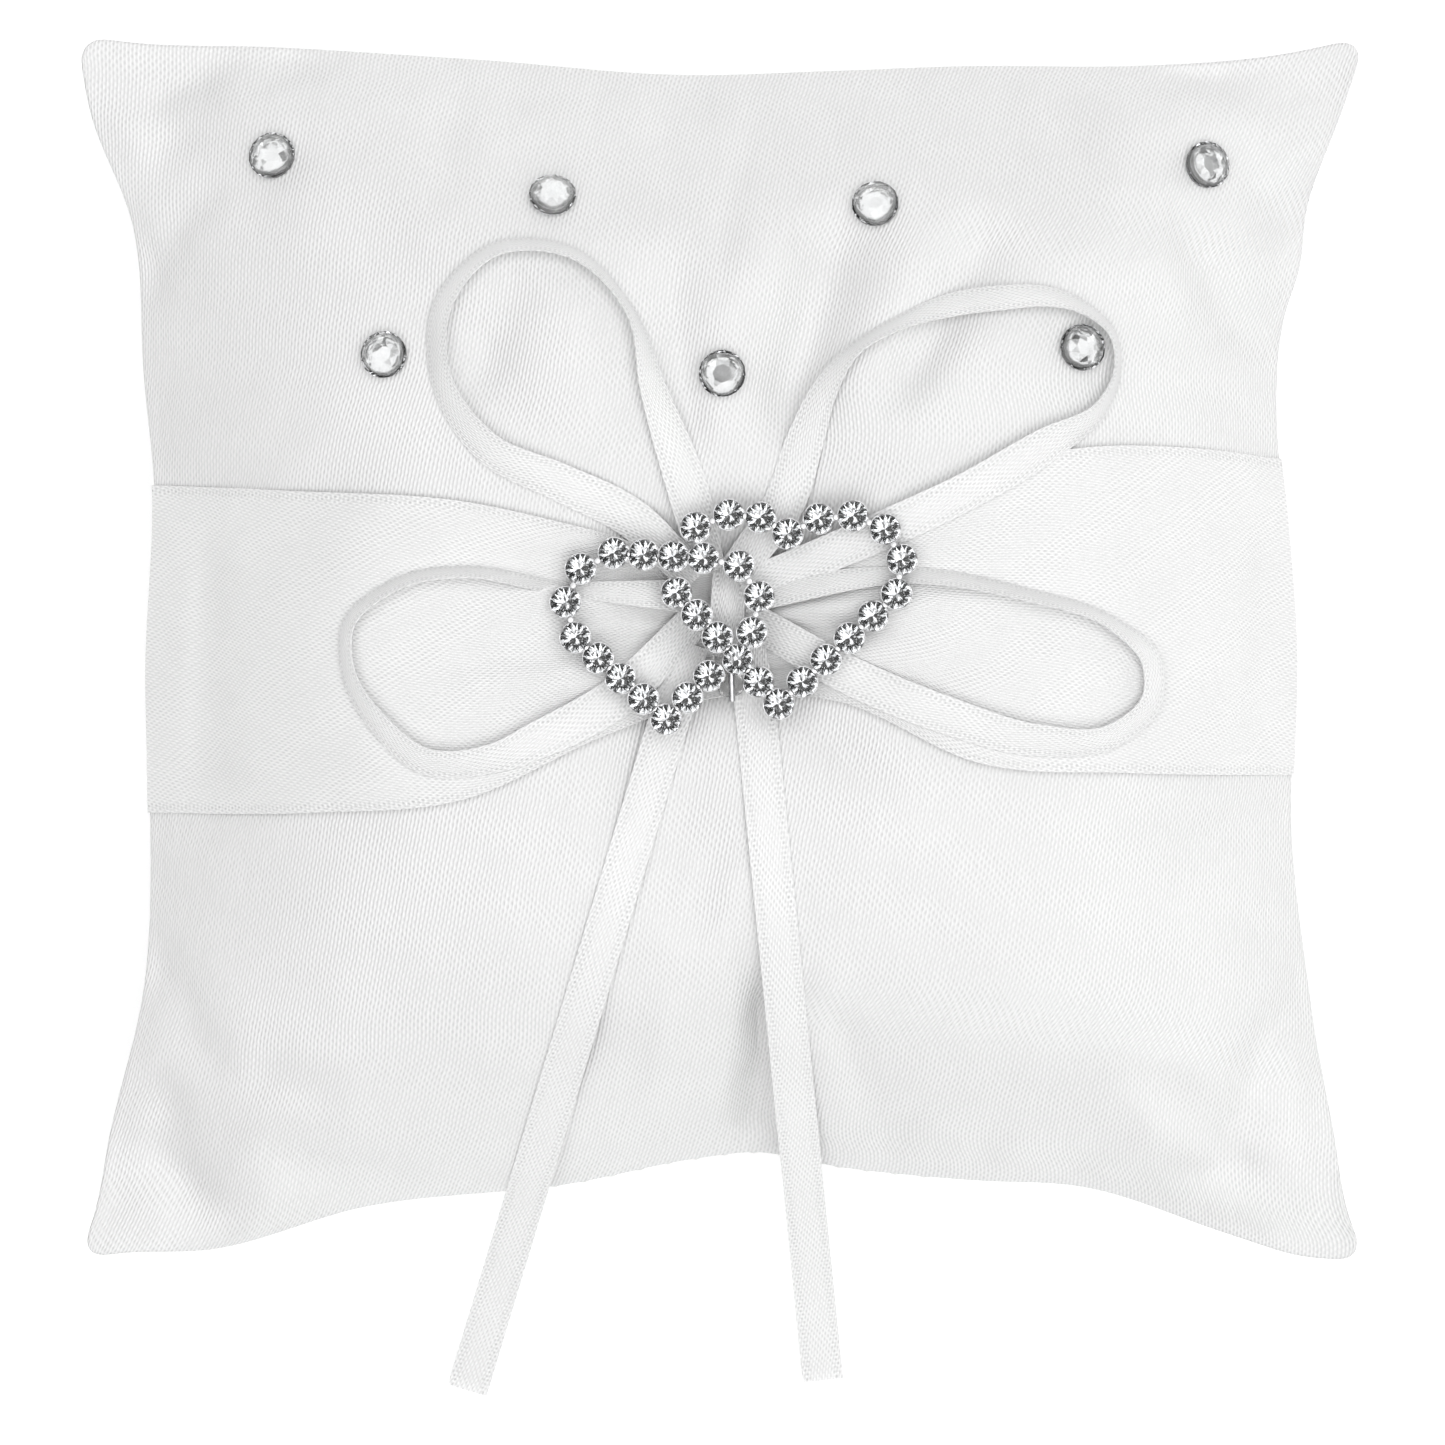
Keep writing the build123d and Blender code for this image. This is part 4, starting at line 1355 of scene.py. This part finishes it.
def rose_cut():
    """Flat-back stone about the Z axis: its points, crown faces and foil faces."""
    points = ring(8, 0, 0.78, 1.16) + ring(8, 0.5, 1.30, 0.88) + ring(16, 0, CRYSTAL, 0.40)
    points += ring(16, 0, CRYSTAL, 0.12) + ring(16, 0, CRYSTAL * 0.98, 0.0)
    crown = crown_faces()
    back = []
    for k in range(16):
        n = (k + 1) % 16
        crown.append((16 + k, 32 + k, 32 + n, 16 + n))
        back.append((32 + k, 48 + k, 48 + n, 32 + n))
    back.append(tuple(48 + k for k in range(15, -1, -1)))
    return points, crown, back


def surface_frame(x, y):
    """Height and square directions of the front at a place."""
    step = 1.2
    level = height_on([front_tree], x, y)
    east, west = (height_on([front_tree], x + d, y) for d in (step, -step))
    north, south = (height_on([front_tree], x, y + d) for d in (step, -step))
    normal = unit(np.array([west - east, south - north, 2 * step]))
    side = unit(np.cross([0.0, 1.0, 0.0], normal))
    return level, side, np.cross(normal, side), normal


CRYSTAL_LIFT = 0.22  # thickness of the glue under a crystal
DOT = [(1.0, -0.1), (1.55, -0.02), (1.65, 0.12), (1.5, 0.26), (0.8, 0.27)]  # its radius and height
DOT_SIDES = 20

dots = Shape()
for name in CRYSTAL_NAMES:
    low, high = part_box(f"crystal_{name}")
    x = (low.x + high.x) / 2 / MM
    y = (low.y + high.y) / 2 / MM
    level, side, up, normal = surface_frame(x, y)
    turn = random.uniform(0, math.pi / 4)
    points, crown, back = rose_cut()
    placed = []
    for p in points:
        a = p[0] * math.cos(turn) - p[1] * math.sin(turn)
        b = p[0] * math.sin(turn) + p[1] * math.cos(turn)
        placed.append(np.array([x, y, level]) + side * a + up * b + normal * (p[2] + CRYSTAL_LIFT))
    shape = Shape()
    shape.add(placed, crown, second=back)
    stone = make_piece(f"flat_back_{name}", shape, [glass, foil], 5)
    settle(stone, "pillow", "foil_backed_glass", f"crystal_{name}")
    rings = []
    for r, z in DOT:
        for k in range(DOT_SIDES):
            angle = 2 * math.pi * k / DOT_SIDES
            wobble = 1 + 0.05 * math.sin(3 * angle + x)
            spot = side * r * wobble * math.cos(angle) + up * r * wobble * math.sin(angle) + normal * z
            rings.append(np.array([x, y, level]) + spot)
    dots.add(rings, ring_faces(len(DOT), DOT_SIDES))
settle(make_piece("hot_fix_dots", dots, [glue], 80), "pillow", "clear_glue", "crystal_glue_dots")

# ------------------------------------------------------------------ carried-over CAD nodes
tuft = frame["nodes"]["tuft_thread"]
tuft.data.materials.clear()
tuft.data.materials.append(spun_thread)

# ------------------------------------------------------------------ floor, light and camera
FLOOR = 1.2  # half its width, in metres
FLOOR_GLOW = 0.22  # keeps it as pale as a lit backdrop
floor_finish = Finish("pale_floor", Roughness=0.9)
floor_spots = floor_finish.noise(floor_finish.object_place(), 4.0)
floor_finish.tint((0.93, 0.93, 0.93), (0.95, 0.95, 0.95), floor_spots)
floor_finish.set("Emission Color", (1.0, 1.0, 1.0, 1.0))
floor_finish.set("Emission Strength", FLOOR_GLOW)
floor_mesh = bpy.data.meshes.new("floor")
floor_corners = [(-FLOOR, -FLOOR, 0), (FLOOR, -FLOOR, 0), (FLOOR, FLOOR, 0), (-FLOOR, FLOOR, 0)]
floor_mesh.from_pydata(floor_corners, [], [(0, 1, 2, 3)])
floor_mesh.materials.append(floor_finish.material)
floor = bpy.data.objects.new("floor", floor_mesh)
bpy.context.scene.collection.objects.link(floor)


def add_light(name, place, size, power):
    """Round area light aimed at the middle of the pillow."""
    data = bpy.data.lights.new(name, "AREA")
    data.shape = "DISK"
    data.size = size
    data.energy = power
    lamp = bpy.data.objects.new(name, data)
    lamp.location = place
    lamp.rotation_euler = (-Vector(place)).to_track_quat("-Z", "Y").to_euler()
    bpy.context.scene.collection.objects.link(lamp)


add_light("key", (0.05, -0.3, 1.2), 0.5, 0.6)


ROOM = [(0.0, 0.41), (0.25, 0.41), (0.45, 0.19), (0.6, 0.19), (0.8, 0.94), (1.0, 0.94)]
ROOM_LEAN = (0.33, 0.25, 0.0)  # how much lighter it is to the right and at the top
ROOM_DROP = -0.55  # how much darker it is high up at the top
ROOM_POWER = 1.8
CARDS = [(0.47, 0.01), (0.57, 0.85)]
CARD_LEAN = (0.0, 0.16, 0.08)
CARD_SCALE = 2.6


def make_world():
    """Soft room light by height; behind the stones there are dark and light cards instead,
    and lighter ones for a flat back, which sends light back after a single reflection."""
    world = bpy.data.worlds.new("studio")
    world.use_nodes = True
    room = Nodes(world.node_tree)
    place = room.node("ShaderNodeTexCoord").outputs["Generated"]
    split = room.node("ShaderNodeSeparateXYZ", {0: place})
    path = room.node("ShaderNodeLightPath")
    drop = room.math("MULTIPLY", split.outputs["Z"], ROOM_DROP)
    front = room.math("ADD", room.math("MULTIPLY", split.outputs["Y"], drop), 1.0)
    level = room.math("ADD", room.dot(place, ROOM_LEAN), front)
    greys = room.greys(split.outputs["Z"], ROOM)
    light = room.node("ShaderNodeVectorMath", {0: greys, "Scale": level}, operation="SCALE")
    once = room.math("LESS_THAN", path.outputs["Glossy Depth"], 1.5)
    lean = room.math("MULTIPLY", room.dot(place, CARD_LEAN), once)
    cards = room.greys(room.math("ADD", lean, room.noise(place, CARD_SCALE, 1.0)), CARDS)
    seen = room.mix(path.outputs["Is Transmission Ray"], light.outputs[0], cards)
    background = room.tree.nodes["Background"]
    room.put(seen, background.inputs["Color"])
    room.put(ROOM_POWER, background.inputs["Strength"])
    bpy.context.scene.world = world


make_world()
bpy.context.scene.view_settings.view_transform = "Standard"

FIELD = 113.33  # mm across the picture, at the height of the seam
FIELD_LEVEL = 14.0
FIELD_MIDDLE = -5.84  # Y of the middle of the picture
CAMERA_HEIGHT = 4.0
SENSOR = 36.0
camera_data = bpy.data.cameras.new("camera")
camera_data.sensor_width = SENSOR
camera_data.lens = SENSOR * (CAMERA_HEIGHT / MM - FIELD_LEVEL) / FIELD
camera_data.clip_start = 0.01
camera = bpy.data.objects.new("camera", camera_data)
camera.location = (0.0, FIELD_MIDDLE * MM, CAMERA_HEIGHT)
bpy.context.scene.collection.objects.link(camera)
bpy.context.scene.camera = camera

bpy.context.view_layer.update()
